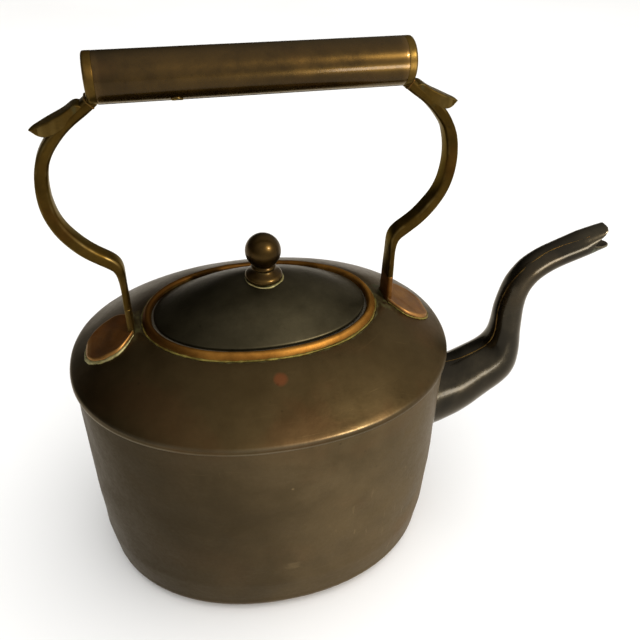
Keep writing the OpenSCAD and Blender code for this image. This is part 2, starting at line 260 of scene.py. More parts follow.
def tube_along(path, radius, sides=10, closed=False, flat=1.0, up=(0, 0, 1)):
    """A rounded bead of varying radius along a path. flat squeezes it along up."""
    path = np.asarray(path, float)
    n = len(path)
    radius = np.broadcast_to(np.asarray(radius, float), (n,))
    if closed:
        t = np.roll(path, -1, 0) - np.roll(path, 1, 0)
    else:
        t = np.gradient(path, axis=0)
    t /= np.linalg.norm(t, axis=1)[:, None]
    up = np.broadcast_to(np.asarray(up, float), (n, 3))
    s = np.cross(t, up)
    s /= np.linalg.norm(s, axis=1)[:, None] + 1e-12
    w = np.cross(s, t)
    rings = []
    for j in range(sides):
        a = 2 * math.pi * j / sides
        rings.append(path + (math.cos(a) * s + flat * math.sin(a) * w) * radius[:, None])
    v = np.stack(rings, 1).reshape(-1, 3)
    f = grid_faces(n, sides, wrap_k=closed)
    if not closed:
        f.append(tuple(range(sides - 1, -1, -1)))
        f.append(tuple(range((n - 1) * sides, n * sides)))
    return v, f


def join_parts(parts):
    vs, fs, o = [], [], 0
    for v, f in parts:
        vs.append(v)
        fs += [tuple(i + o for i in q) for q in f]
        o += len(v)
    return np.concatenate(vs, 0), fs


# ---------------------------------------------------------------- materials

class Nodes:
    def __init__(self, name):
        self.mat = bpy.data.materials.new(name)
        self.mat.use_nodes = True
        self.nt = self.mat.node_tree
        self.nt.nodes.clear()
        self.out = self.nt.nodes.new("ShaderNodeOutputMaterial")
        self.bsdf = self.nt.nodes.new("ShaderNodeBsdfPrincipled")
        self.nt.links.new(self.bsdf.outputs[0], self.out.inputs[0])
        self.tc = self.nt.nodes.new("ShaderNodeTexCoord").outputs["Object"]

    def link(self, a, b):
        self.nt.links.new(a, b)

    def put(self, sock, v):
        if isinstance(v, (int, float)):
            sock.default_value = v
        elif isinstance(v, tuple):
            sock.default_value = v if len(v) == len(sock.default_value) else (*v, 1.0)
        else:
            self.link(v, sock)

    def mapping(self, scale=(1, 1, 1), rot=(0, 0, 0), loc=(0, 0, 0)):
        n = self.nt.nodes.new("ShaderNodeMapping")
        n.inputs["Scale"].default_value = scale
        n.inputs["Rotation"].default_value = rot
        n.inputs["Location"].default_value = loc
        self.link(self.tc, n.inputs["Vector"])
        return n.outputs[0]

    def noise(self, scale, detail=4.0, rough=0.55, vec=None, distort=0.0):
        n = self.nt.nodes.new("ShaderNodeTexNoise")
        n.inputs["Scale"].default_value = scale
        n.inputs["Detail"].default_value = detail
        n.inputs["Roughness"].default_value = rough
        n.inputs["Distortion"].default_value = distort
        self.link(vec or self.tc, n.inputs["Vector"])
        return n.outputs["Fac"]

    def voronoi(self, scale, vec=None, feature="F1", rand=1.0):
        n = self.nt.nodes.new("ShaderNodeTexVoronoi")
        n.feature = feature
        n.inputs["Scale"].default_value = scale
        n.inputs["Randomness"].default_value = rand
        self.link(vec or self.tc, n.inputs["Vector"])
        return n.outputs["Distance"]

    def attr(self, name):
        n = self.nt.nodes.new("ShaderNodeAttribute")
        n.attribute_type = "GEOMETRY"
        n.attribute_name = name
        return n.outputs["Fac"]

    def remap(self, v, a, b, c=0.0, d=1.0):
        n = self.nt.nodes.new("ShaderNodeMapRange")
        n.interpolation_type = "SMOOTHSTEP"
        self.put(n.inputs["Value"], v)
        n.inputs["From Min"].default_value = a
        n.inputs["From Max"].default_value = b
        n.inputs["To Min"].default_value = c
        n.inputs["To Max"].default_value = d
        return n.outputs["Result"]

    def math(self, op, a, b=0.0, clamp=False):
        n = self.nt.nodes.new("ShaderNodeMath")
        n.operation = op
        n.use_clamp = clamp
        self.put(n.inputs[0], a)
        self.put(n.inputs[1], b)
        return n.outputs[0]

    def mix(self, fac, a, b):
        n = self.nt.nodes.new("ShaderNodeMix")
        n.data_type = "RGBA"
        self.put(n.inputs[0], fac)
        self.put(n.inputs[6], a)
        self.put(n.inputs[7], b)
        return n.outputs[2]

    def xyz(self):
        n = self.nt.nodes.new("ShaderNodeSeparateXYZ")
        self.link(self.tc, n.inputs[0])
        return n.outputs

    def bump(self, height, dist, strength=1.0, chain=None):
        n = self.nt.nodes.new("ShaderNodeBump")
        n.inputs["Distance"].default_value = dist
        n.inputs["Strength"].default_value = strength
        self.put(n.inputs["Height"], height)
        if chain is not None:
            self.link(chain, n.inputs["Normal"])
        return n.outputs[0]


def metal(name, dark, light, warm=None, warm_amt=0.3, rough=(0.34, 0.5), metallic=0.85,
          scale=1.0, wear=None, wear_rough=0.28, green=None, painted_shade_grad=None, scratch=0.5,
          speck=0.5, bumpy=1.0, stain=None, spec=0.25, coat=0.0, coat_rough=0.16,
          tint=(0.84, 0.78, 0.69, 1.0), burn=None):
    """Aged sheet or cast metal: mottled patina, rubbed edges, verdigris, specks, fine scratches, and an optional
    painted shade that darkens one side.
    """
    k = Nodes(name)
    n_big = k.noise(13 * scale, 5, 0.6, distort=0.6)
    n_mid = k.noise(55 * scale, 6, 0.62)
    n_fine = k.noise(420 * scale, 4, 0.6)
    mott = k.math("ADD", k.math("MULTIPLY", n_big, 0.62), k.math("MULTIPLY", n_mid, 0.38))
    col = k.mix(k.remap(mott, 0.36, 0.64), dark, light)
    if warm:
        w = k.remap(k.noise(21 * scale, 4, 0.55, k.mapping(loc=(3.1, 1.7, 0.4))), 0.5, 0.72, 0, warm_amt)
        col = k.mix(w, col, warm)
    if stain:
        w = k.remap(k.noise(34 * scale, 5, 0.7, k.mapping(loc=(7.1, 2.7, 5.4)), 1.2), 0.56, 0.74, 0, 0.55)
        col = k.mix(w, col, stain)
    col = k.mix(k.remap(n_fine, 0.35, 0.7, 0, 0.22), col, dark)
    if painted_shade_grad:
        # painted shade: colour darkened towards the back of the piece, standing in for the shade on its unlit side
        lo, hi, amount = painted_shade_grad[:3]
        gx_, gy_ = painted_shade_grad[3] if len(painted_shade_grad) > 3 else (1.0, 0.0)
        x = k.math("ADD", k.math("MULTIPLY", k.xyz()[0], gx_), k.math("MULTIPLY", k.xyz()[1], gy_))
        g = k.remap(k.math("ADD", x, k.math("MULTIPLY", k.math("SUBTRACT", n_big, 0.5), 0.08)), lo, hi, amount, 0.0)
        col = k.mix(g, col, tuple(c * 0.3 for c in dark))
    if speck:
        sp = k.voronoi(150 * scale, k.mapping(loc=(0.3, 0.1, 0.7)))
        gate = k.remap(k.noise(31 * scale, 2, 0.5, k.mapping(loc=(1.3, 8.1, 0.7))), 0.5, 0.66)
        spot = k.math("MULTIPLY", k.remap(sp, 0.05, 0.17, 1, 0), gate)
        col = k.mix(k.math("MULTIPLY", spot, 0.7 * speck), col, tuple(c * 0.35 for c in dark))
        sp2 = k.voronoi(90 * scale, k.mapping(loc=(4.3, 2.1, 9.7)))
        gate2 = k.remap(k.noise(19 * scale, 2, 0.5, k.mapping(loc=(5.3, 3.1, 2.7))), 0.57, 0.66)
        pale = k.math("MULTIPLY", k.remap(sp2, 0.03, 0.1, 1, 0), gate2)
        col = k.mix(k.math("MULTIPLY", pale, 0.5 * speck), col, tuple(min(1, c * 2.6) for c in light))
    if burn:
        # one reddish burn mark: centre and half widths in metres
        centre, half, tone = burn
        x, y = k.xyz()[0], k.xyz()[1]
        dx = k.math("MULTIPLY", k.math("SUBTRACT", x, centre[0]), 1 / half[0])
        dy = k.math("MULTIPLY", k.math("SUBTRACT", y, centre[1]), 1 / half[1])
        rr = k.math("ADD", k.math("MULTIPLY", dx, dx), k.math("MULTIPLY", dy, dy))
        rr = k.math("ADD", rr, k.math("MULTIPLY", k.math("SUBTRACT", n_mid, 0.5), 1.6))
        col = k.mix(k.remap(rr, 0.1, 1.15, 0.42, 0.0), col, tone)
    rgh = k.math("ADD", k.remap(mott, 0.3, 0.7, rough[0], rough[1]), k.remap(n_fine, 0.3, 0.7, -0.03, 0.03))
    scr = None
    if scratch:
        s1 = k.noise(1.0, 3, 0.5, k.mapping(scale=(14, 900, 60), rot=(0.3, 0.5, 0.9)))
        s2 = k.noise(1.0, 3, 0.5, k.mapping(scale=(40, 20, 1100), rot=(0.9, 0.2, 0.4)))
        gate = k.remap(k.noise(9, 2, 0.5, k.mapping(loc=(2.3, 6.1, 1.7))), 0.42, 0.62)
        scr = k.math("MULTIPLY", k.math("MAXIMUM", k.remap(s1, 0.66, 0.72), k.remap(s2, 0.67, 0.73)), gate)
        col = k.mix(k.math("MULTIPLY", scr, 0.28 * scratch), col, tuple(min(1, c * 2.2) for c in light))
        rgh = k.math("SUBTRACT", rgh, k.math("MULTIPLY", scr, 0.08 * scratch))
    if wear:
        e = k.attr("wear")
        e = k.math("MULTIPLY", e, k.remap(n_mid, 0.3, 0.6, 0.55, 1.0), clamp=True)
        col = k.mix(e, col, wear)
        rgh = k.math("ADD", k.math("MULTIPLY", rgh, k.math("SUBTRACT", 1.0, e)),
                     k.math("MULTIPLY", e, wear_rough))
    met = None
    if green:
        g = k.attr("green")
        n = k.noise(230, 6, 0.7, k.mapping(loc=(1.7, 0.3, 2.2)))
        g = k.remap(k.math("ADD", g, k.math("MULTIPLY", k.math("SUBTRACT", n, 0.5), 0.9)), 0.35, 0.75)
        g = k.math("MULTIPLY", g, k.remap(k.attr("green"), 0.02, 0.12))
        col = k.mix(g, col, green)
        rgh = k.math("ADD", k.math("MULTIPLY", rgh, k.math("SUBTRACT", 1.0, g)), k.math("MULTIPLY", g, 0.75))
        met = k.math("SUBTRACT", metallic, k.math("MULTIPLY", g, metallic * 0.8))
    k.link(col, k.bsdf.inputs["Base Color"])
    k.link(rgh, k.bsdf.inputs["Roughness"])
    if met is not None:
        k.link(met, k.bsdf.inputs["Metallic"])
    else:
        k.bsdf.inputs["Metallic"].default_value = metallic
    k.bsdf.inputs["Specular IOR Level"].default_value = spec
    k.bsdf.inputs["Specular Tint"].default_value = tint
    k.bsdf.inputs["Coat Weight"].default_value = coat
    k.bsdf.inputs["Coat Roughness"].default_value = coat_rough
    b = k.bump(k.noise(70, 3, 0.5), 0.00035 * bumpy, 0.5)
    b = k.bump(n_fine, 0.00006 * bumpy, 0.6, b)
    if scr is not None:
        b = k.bump(scr, -0.00003, 0.5 * scratch, b)
    k.link(b, k.bsdf.inputs["Normal"])
    MATS[name] = k.mat
    return k.mat


def srgb(r, g, b, gain=1.0):
    def c(v):
        v = v / 255.0
        return (v / 12.92 if v <= 0.04045 else ((v + 0.055) / 1.055) ** 2.4) * gain
    return (c(r), c(g), c(b))


# The wall, shoulder and lid get a painted shade: their colour is darkened towards the back-left, standing in for the
# shade on their unlit side.
M_BODY = metal("copper_patina_and_painted_shade_wall", srgb(66, 54, 34), srgb(79, 66, 45), warm=srgb(94, 63, 38), warm_amt=0.16,
               rough=(0.40, 0.54), metallic=0.9, scratch=1.0, speck=0.9, painted_shade_grad=(-0.105, 0.045, 0.84), wear=srgb(112, 92, 68), green=srgb(92, 100, 72))
M_SHOULDER = metal("copper_patina_and_painted_shade_shoulder", srgb(57, 45, 25), srgb(69, 56, 34), warm=srgb(94, 56, 32), warm_amt=0.18,
                   rough=(0.31, 0.43), metallic=0.92, scratch=0.8, speck=0.8, painted_shade_grad=(-0.12, 0.03, 0.5), wear=srgb(118, 108, 88), green=srgb(60, 62, 34),
                   burn=((0.0, -0.0585), (0.0042, 0.0040), srgb(122, 62, 34)))
M_SPOUT = metal("copper_patina_spout", srgb(34, 30, 22), srgb(54, 48, 36), warm=srgb(76, 58, 36), warm_amt=0.18,
                rough=(0.20, 0.30), metallic=0.93, wear=srgb(108, 94, 66), green=srgb(84, 92, 72), bumpy=0.6,
                coat=0.12, coat_rough=0.11)
M_WARM = metal("copper_worn", srgb(98, 64, 32), srgb(130, 92, 50), warm=srgb(116, 66, 34), warm_amt=0.4,
               rough=(0.42, 0.58), metallic=0.85, scale=2.2, wear=srgb(146, 106, 60), green=srgb(66, 66, 30), wear_rough=0.46)
# The collar gets a painted shade: its colour is darkened towards the back-left, where the lid and its unlit side leave
# it in shade.
M_COLLAR = metal("copper_worn_collar_with_painted_shade", srgb(94, 60, 20), srgb(126, 86, 34), warm=srgb(112, 58, 20), warm_amt=0.45,
                 rough=(0.40, 0.56), metallic=0.86, scale=2.2, wear=srgb(140, 98, 42), green=srgb(66, 64, 26),
                 painted_shade_grad=(-0.022, 0.026, 0.92, (0.6, -0.8)), wear_rough=0.46, tint=(0.56, 0.44, 0.3, 1.0))
M_FOOT_L = metal("copper_worn_dark", srgb(80, 48, 14), srgb(112, 70, 26), warm=srgb(108, 58, 18), warm_amt=0.45,
                 rough=(0.38, 0.54), metallic=0.88, scale=2.0, wear=srgb(140, 102, 54), green=srgb(56, 56, 26), wear_rough=0.42)
M_BRASS = metal("brass_cast", srgb(48, 34, 8), srgb(70, 52, 17), warm=srgb(70, 40, 10), warm_amt=0.4,
                rough=(0.30, 0.44), metallic=0.93, scale=1.8, wear=srgb(122, 102, 58), green=srgb(42, 48, 28), stain=srgb(32, 22, 5),
                tint=(0.76, 0.66, 0.48, 1.0))
M_CAP = metal("brass_cap", srgb(56, 41, 12), srgb(82, 63, 25), warm=srgb(78, 50, 16), warm_amt=0.35,
              rough=(0.30, 0.44), metallic=0.92, scale=2.5, wear=srgb(104, 86, 48), green=srgb(50, 52, 28), tint=(0.78, 0.68, 0.5, 1.0))
M_GRIP = metal("copper_grip", srgb(43, 30, 7), srgb(62, 45, 15), warm=srgb(76, 46, 18), warm_amt=0.25,
               rough=(0.22, 0.32), metallic=0.93, scale=1.4, wear=srgb(96, 72, 36), green=srgb(56, 58, 28),
               bumpy=0.45, coat=0.18, coat_rough=0.12, tint=(0.78, 0.68, 0.52, 1.0))
M_LID = metal("copper_dark_lid_with_painted_shade", srgb(37, 33, 21), srgb(55, 50, 36), warm=srgb(62, 48, 28), warm_amt=0.15,
              rough=(0.34, 0.47), metallic=0.9, wear=srgb(78, 74, 56), green=srgb(58, 60, 42), painted_shade_grad=(-0.07, 0.02, 0.66))
M_BRONZE = metal("bronze_knob", srgb(37, 25, 7), srgb(53, 38, 14), warm=srgb(56, 34, 10), warm_amt=0.25,
                 rough=(0.30, 0.38), metallic=0.94, scale=2.4, wear=srgb(76, 58, 26), green=srgb(74, 74, 38), coat=0.04, coat_rough=0.1)
M_SOLDER = metal("solder_pale", srgb(104, 98, 60), srgb(176, 168, 124), warm=srgb(124, 98, 48), warm_amt=0.5,
                 rough=(0.42, 0.62), metallic=0.6, scale=4.0, stain=srgb(52, 52, 26), speck=0.8, bumpy=1.5)
M_BRAZE = metal("braze_green", srgb(70, 62, 22), srgb(122, 110, 54), warm=srgb(110, 72, 26), warm_amt=0.5,
                rough=(0.42, 0.62), metallic=0.65, scale=4.5, stain=srgb(38, 36, 14), speck=0.8, bumpy=1.5)
M_SEAM = metal("braze_golden", srgb(56, 42, 18), srgb(104, 80, 36), warm=srgb(100, 62, 22), warm_amt=0.6,
               rough=(0.34, 0.52), metallic=0.85, scale=4.5, stain=srgb(34, 28, 14), speck=0.8)
M_INNER = metal("tinned_inside", srgb(84, 78, 66), srgb(128, 122, 108), warm=srgb(110, 84, 60), warm_amt=0.4,
                rough=(0.5, 0.68), metallic=0.7, stain=srgb(60, 52, 40), bumpy=1.6)

# ---------------------------------------------------------------- body shapes


def sh_a(u):
    return A - u * (A - COL_A)


def sh_b(u):
    return B - u * (B - COL_B)


def sh_z(u):
    return RIM_Z + RISE * (1 - np.maximum(0, 1 - np.asarray(u, float)) ** 1.35)


def find_u(x, y):
    lo = np.zeros_like(np.asarray(x, float))
    hi = np.ones_like(lo)
    for _ in range(22):
        mid = (lo + hi) / 2
        ins = (np.abs(x) / sh_a(mid)) ** N_OVAL + (np.abs(y) / sh_b(mid)) ** N_OVAL < 1
        lo = np.where(ins, mid, lo)
        hi = np.where(ins, hi, mid)
    return (lo + hi) / 2


def dome_wave(x, y):
    """Height of the slow waves beaten into the shoulder."""
    p = np.stack([x / 31.0, y / 31.0, np.zeros_like(x)], 1)
    q = np.stack([x / 13.0, y / 13.0, np.zeros_like(x)], 1)
    return 0.30 * noise3(p, 3) + 0.09 * noise3(q, 5)


def dome_z(x, y):
    u = find_u(x, y)
    return sh_z(u) + dome_wave(x, y) * smooth(u, 0.02, 0.2) * (1 - smooth(u, 0.86, 0.99))


def wall_inset(z):
    z = np.asarray(z, float)
    return np.where(z < 12, 4.3, np.where(z < 30, 4.3 - 2.2 * (np.maximum(z - 12, 0) / 18) ** 0.85,
                    np.where(z < 67, 2.1 - 0.75 * smooth(z, 30, 67), WALL_IN)))


def wall_x(y, z):
    i = wall_inset(z)
    return (A - i) * np.maximum(0, 1 - (np.abs(y) / (B - i)) ** N_OVAL) ** (1 / N_OVAL)


def wall_wave(x, y, z):
    """Inward and outward waves of the hammered wall, in mm."""
    th = np.arctan2(y, x)
    p = np.stack([np.cos(th) * 3.2, np.sin(th) * 3.2, z / 34.0], 1)
    q = np.stack([np.cos(th) * 8.5, np.sin(th) * 8.5, z / 13.0], 1)
    d = 0.50 * noise3(p, 11) + 0.16 * noise3(q, 12)

    def dent(deg, zc, w, h, depth):
        da = (np.degrees(th) - deg + 180) % 360 - 180
        return depth * np.exp(-((da / w) ** 2) - ((z - zc) / h) ** 2)
    d = d - dent(193, 124, 6.5, 15, 0.9) - dent(214, 60, 10, 18, 0.55) - dent(-62, 74, 7, 11, 0.35)
    d = d - dent(-112, 30, 8, 9, 0.35) + dent(-170, 30, 8, 12, 0.3)
    return d * (1 - smooth(z, 132, 144)) * smooth(z, 4, 22)


MB = 320

# body shell: base, rounded corner, wall, and the same inside
r0 = 4.3 + CORNER
zs = np.r_[np.linspace(11, 30, 12), np.linspace(32.5, 142.5, 46), 144.5, 146.4]
rings, wears, greens = [], [], []


def put_ring(a, b, z, inner=False, wear=0.0, wave=True):
    r = ring(a, b, z, MB)
    if wave:
        th = np.arctan2(r[:, 1] / b, r[:, 0] / a)
        d = wall_wave(r[:, 0], r[:, 1], np.full(MB, float(z)))
        n = np.stack([np.cos(th) / a, np.sin(th) / b], 1)
        n /= np.linalg.norm(n, axis=1)[:, None]
        r[:, :2] += n * d[:, None]
    rings.append(r)
    wears.append(np.full(MB, float(wear)))


for f in (0.12, 0.3, 0.5, 0.7, 0.86, 0.95):
    put_ring((A - r0) * f, (B - r0) * f, 0.25 * (1 - smooth(f, 0.6, 0.98)), wear=0.2, wave=False)
for t in np.linspace(0, 90, 13):
    o = r0 - CORNER * math.sin(math.radians(t))
    put_ring(A - o, B - o, CORNER * (1 - math.cos(math.radians(t))), wear=0.75 if t < 40 else 0.75 - (t - 40) / 60)
for z in zs[1:]:
    i = float(wall_inset(z))
    put_ring(A - i, B - i, z)
n_out = len(rings)
put_ring(A - WALL_IN - 0.4, B - WALL_IN - 0.4, 146.9)
put_ring(A - WALL_IN - 1.0, B - WALL_IN - 1.0, 146.9)
for z in zs[::-1]:
    i = float(wall_inset(z)) + 1.4
    put_ring(A - i, B - i, z)
for t in np.linspace(90, 0, 11)[1:]:
    ri = CORNER - 1.4
    o = r0 - ri * math.sin(math.radians(t))
    put_ring(A - o, B - o, CORNER - ri * math.cos(math.radians(t)))
for f in (0.95, 0.86, 0.7, 0.5, 0.3, 0.12):
    put_ring((A - r0) * f, (B - r0) * f, 1.4 + 0.25 * (1 - smooth(f, 0.6, 0.98)), wave=False)
v, f = loft(rings, pole0=[0, 0, 0.25], pole1=[0, 0, 1.65])
wear_b = np.r_[np.concatenate(wears), 0.2, 0]
body_shell = make("body_shell", v, f, M_BODY, "kettle", ("body_wall", "base_pan"),
                  {"wear": wear_b, "green": np.zeros(len(v))})
# the opening into the spout, cut through the wall
ct = np.linspace(0, 2 * math.pi, 49)[:-1]
cut_r = [np.stack([np.full(48, x), (ROOT_W - 4) * np.cos(ct), ROOT_Z + (ROOT_H - 4) * np.sin(ct)], 1) for x in (90, 130)]
cv, cf = loft(cut_r, pole0=[90, 0, ROOT_Z], pole1=[130, 0, ROOT_Z])
cut = bpy.data.meshes.new("cut")
cut.from_pydata((cv * MM).tolist(), [], cf)
cutter = bpy.data.objects.new("cutter", cut)
bpy.context.scene.collection.objects.link(cutter)


def boolean_cut(target, tool):
    bm = bmesh.new()
    bm.from_mesh(tool.data)
    bmesh.ops.recalc_face_normals(bm, faces=bm.faces)
    bm.to_mesh(tool.data)
    bm.free()
    md = target.modifiers.new("cut", "BOOLEAN")
    md.operation = "DIFFERENCE"
    md.solver = "EXACT"
    md.object = tool
    dg = bpy.context.evaluated_depsgraph_get()
    done = bpy.data.meshes.new_from_object(target.evaluated_get(dg), preserve_all_data_layers=True, depsgraph=dg)
    target.modifiers.remove(md)
    old = target.data
    target.data = done
    done.name = old.name + "_cut"
    bpy.data.objects.remove(tool)


boolean_cut(body_shell, cutter)

# shoulder: domed sheet, rounded edge, lip turned down over the wall
us = np.r_[0.035, 0.06, 0.09, 0.12, np.linspace(0.16, 0.985, 40)]
prof = [(A - 1.1, B - 1.1, RIM_Z - 3.35), (A - 0.75, B - 0.75, RIM_Z - 3.4), (A - 0.35, B - 0.35, RIM_Z - 3.36),
        (A - 0.1, B - 0.1, RIM_Z - 3.2), (A, B, RIM_Z - 2.9), (A, B, RIM_Z - 2.3), (A - 0.02, B - 0.02, RIM_Z - 1.7),
        (A - 0.1, B - 0.1, RIM_Z - 1.15), (A - 0.26, B - 0.26, RIM_Z - 0.62), (A - 0.5, B - 0.5, RIM_Z - 0.12),
        (A - 0.82, B - 0.82, RIM_Z + 0.34)]
for u in us:
    prof.append((sh_a(u), sh_b(u), float(sh_z(u)) if u > 0.05 else RIM_Z + 0.34 + (float(sh_z(0.06)) - RIM_Z - 0.34) * (u * 43.5 - 0.82) / (2.61 - 0.82)))
n_top = len(prof)
prof += [(COL_A, COL_B, LAND_Z), (SEAT_A, SEAT_B, LAND_Z), (SEAT_A, SEAT_B, LAND_Z - 1.4), (COL_A - 0.4, COL_B - 0.4, LAND_Z - 1.4)]
for u in us[::-3]:
    prof.append((sh_a(u) - 0.6, sh_b(u) - 0.6, float(sh_z(u)) - 1.5))
prof += [(A - WALL_IN, B - WALL_IN, RIM_Z - 1.1), (A - WALL_IN, B - WALL_IN, RIM_Z - 3.2)]
MS = 384
rings, wr, gr = [], [], []
for j, (a, b, z) in enumerate(prof):
    r = ring(a, b, z, MS)
    if 12 <= j < n_top or n_top + 4 <= j < len(prof) - 2:
        uu = find_u(r[:, 0], r[:, 1])
        r[:, 2] += dome_wave(r[:, 0], r[:, 1]) * smooth(uu, 0.02, 0.2) * (1 - smooth(uu, 0.86, 0.99))
    th = np.arange(MS) / MS
    if j < 12:
        r[:, 2] += 0.10 * ring_noise(th, 23, 4) * (1 if j > 3 else 1.6) + 0.05 * ring_noise(th, 61, 5)
    if n_top < j < n_top + 3:
        r[:, 0] += COL_X
    rings.append(r)
    wv = {4: 0.6, 5: 0.5, 7: 0.1, 8: 0.25, 9: 0.35, 10: 0.2}.get(j, 0.0)
    wr.append(wv * (0.55 + 0.45 * ring_noise(th, 19, 8)))
    gr.append(np.full(MS, 0.0))
v, f = loft(rings, wrap=True)
wr = np.concatenate(wr)
gr = np.zeros(len(v))
uu = find_u(v[:, 0], v[:, 1])
gr = np.where(np.arange(len(v)) < n_top * MS, smooth(uu, 0.93, 0.985) * 0.55, 0)
# green-black traces by the leaf feet
for side in (-1, 1):
    d = np.hypot((v[:, 0] - side * 76) / 13.0, v[:, 1] / 17.0)
    gr = np.maximum(gr, 0.5 * (1 - smooth(d, 0.75, 1.25)) * (np.arange(len(v)) < n_top * MS))
shoulder = make("shoulder_dome", v, f, M_SHOULDER, "kettle", ("shoulder",), {"wear": wr, "green": gr})

# collar: half-round bead with hand-filed waves
cp = [[0, -0.06], [0, 0.1], [0.04, 0.26], [0.1, 0.42], [0.2, 0.62], [0.34, 0.83], [0.5, 0.95], [0.62, 0.97], [0.76, 0.9],
      [0.87, 0.77], [0.94, 0.6], [0.985, 0.4], [1, 0.2], [1, 0.0]]
q = np.linspace(0, 1, 34)
s = np.r_[0, np.cumsum(np.hypot(*np.diff(np.array(cp) * [BEAD_W, BEAD_H], axis=0).T))]
cps = spline(s / s[-1], np.array(cp), q)
MC = 384
th = np.arange(MC) / MC
rings, wr = [], []
lw = 0.22 * ring_noise(th, 29, 21) + 0.12 * ring_noise(th, 67, 22)
hw = 0.16 * ring_noise(th, 23, 23) + 0.07 * ring_noise(th, 71, 24)
for c in cps:
    base = ring(COL_A - c[0] * BEAD_W, COL_B - c[0] * BEAD_W, LAND_Z, MC, COL_X)
    n = np.stack([base[:, 0] / COL_A ** 2, base[:, 1] / COL_B ** 2], 1)
    n /= np.linalg.norm(n, axis=1)[:, None]
    k = max(0.0, 1 - c[0] * 1.4)
    base[:, :2] += n * (lw * k)[:, None]
    base[:, 2] += max(0, c[1]) * (BEAD_H + hw * 1.0) * 0.985 if c[1] > 0 else c[1] * BEAD_H
    rings.append(base)
    lit = 0.08 + 0.92 * smooth(0.6 * (base[:, 0] - COL_X) - 0.8 * base[:, 1], -16, 20)      # rubbed wear kept to the lit front and faded at the back: partly real wear, partly painted light at the front and painted shade at the back
    wr.append(np.full(MC, 0.7 * math.exp(-((c[0] - 0.5) / 0.3) ** 2)) * (0.7 + 0.3 * ring_noise(th, 41, 25)) * lit)
bot = ring(SEAT_A + 0.3, SEAT_B + 0.3, LAND_Z - 0.1, MC, COL_X)
rings.append(bot)
wr.append(np.zeros(MC))
v, f = loft(rings, wrap=True)
g = np.concatenate([np.full(MC, 0.42 if c[0] < 0.06 or c[0] > 0.95 else 0.0) for c in cps] + [np.zeros(MC)])
collar = make("collar_ring", v, f, M_COLLAR, "kettle", ("collar_bead",), {"wear": np.concatenate(wr), "green": g})

# braze run along the outer foot of the collar
MR = 900
th = np.arange(MR) / MR
off = 0.15 + 0.22 * ring_noise(th, 37, 31)
u = unit_oval(MR)
path = np.stack([u[:, 0] * (COL_A + off) + COL_X, u[:, 1] * (COL_B + off), np.full(MR, LAND_Z + 0.25)], 1)
rad = np.maximum(0.32, 0.66 + 0.24 * ring_noise(th, 43, 32) + 0.2 * ring_noise(th, 151, 33))
v, f = tube_along(path, rad, 8, closed=True, flat=0.8)
make("collar_braze", v, f, M_BRAZE, "kettle")

# ledge and neck inside the throat
tp = [(-0.5, 0), (3.0, 0), (3.3, -0.1), (3.4, -0.4), (3.4, -12.6), (3.1, -13), (2.5, -13), (2.2, -12.6), (2.2, -1.6), (1.8, -1.2), (-0.5, -1.2)]
rings = [ring(SEAT_A - p[0] - 0.02, SEAT_B - p[0] - 0.02, LEDGE_Z + p[1], 256, COL_X) for p in tp]
v, f = loft(rings, wrap=True)
make("throat_neck", v, f, M_INNER, "kettle", ("throat_ring",))

# ---------------------------------------------------------------- spout

ST = [[113, 86.2, 16, 23.6, 19.5], [122, 89.4, 21, 22.3, 19], [132, 93.8, 26, 20.6, 18], [142, 100, 31, 19.2, 16.8],
      [149.5, 104.6, 35, 18.4, 16], [155.3, 110, 40, 17.4, 15], [158, 116, 46, 15.8, 13.8], [158.8, 122.5, 53, 13.9, 12.4],
      [158.7, 129, 61, 12.1, 11.2], [158.3, 136, 68, 10.8, 10.3], [157.9, 143, 76, 10, 9.7], [157.8, 150, 82, 9.4, 9.2],
      [158.4, 157, 80, 9, 8.9], [159.6, 163.4, 75, 8.8, 8.7], [162, 169.2, 66, 8.8, 8.6], [165.4, 174.3, 55, 8.8, 8.6],
      [170.6, 179, 42, 8.7, 8.5], [178, 183.3, 29, 8.5, 8.4], [187, 187, 23, 8.4, 8.4], [196, 190.4, 20, 8.5, 8.4],
      [203.5, 193, 19, 8.5, 8.2]]
MP = 72
tt = 2 * math.pi * np.arange(MP) / MP
stp, sq = spline_path(ST, 150)


def st_ring(s, w, t=tt):
    h = (s[3] - w) * np.cos(t)
    p = math.radians(s[2])
    return np.stack([s[0] - h * math.sin(p), (s[4] - w) * np.sin(t), s[1] + h * math.cos(p)], 1)


def root_ring(w, out=-0.25, t=tt):
    y = (ROOT_W - w) * np.sin(t)
    z = ROOT_Z + (ROOT_H - w) * np.cos(t)
    return np.stack([wall_x(y, z) + out, y, z], 1)


MOUTH = np.array([[0, 9.6], [25, 9.9], [45, 9.0], [60, 6.4], [72, 3.0], [84, 0.0], [93, -1.2], [100, -0.2], [112, 2.6],
                  [130, 5.8], [150, 8.6], [168, 10.3], [180, 10.6]])


def mouth_d(t):
    a = np.degrees(np.arccos(np.cos(t)))
    return np.interp(a, MOUTH[:, 0], MOUTH[:, 1])


def mouth_ring(w, k=1.0, out=0.0):
    s = stp[-1]
    t = tt
    d = mouth_d(t) * k + out
    nose = smooth(np.cos(t), 0.2, 1.0) * 0.8 * k * k    # upper jaw dips a little at its tip
    h = (s[3] - 0.3 * k - w) * np.cos(t) - nose
    p = math.radians(s[2])
    return np.stack([s[0] - h * math.sin(p) + d * math.cos(p), (s[4] - 0.7 * k * k - w) * np.sin(t),
                     s[1] + h * math.cos(p) + d * math.sin(p)], 1)


W = 1.3
LAST = int(np.argmax(stp[:, 0] > 197.0))


def lip_ring(w, k):
    return st_ring(stp[LAST], w) * (1 - k) + mouth_ring(w) * k


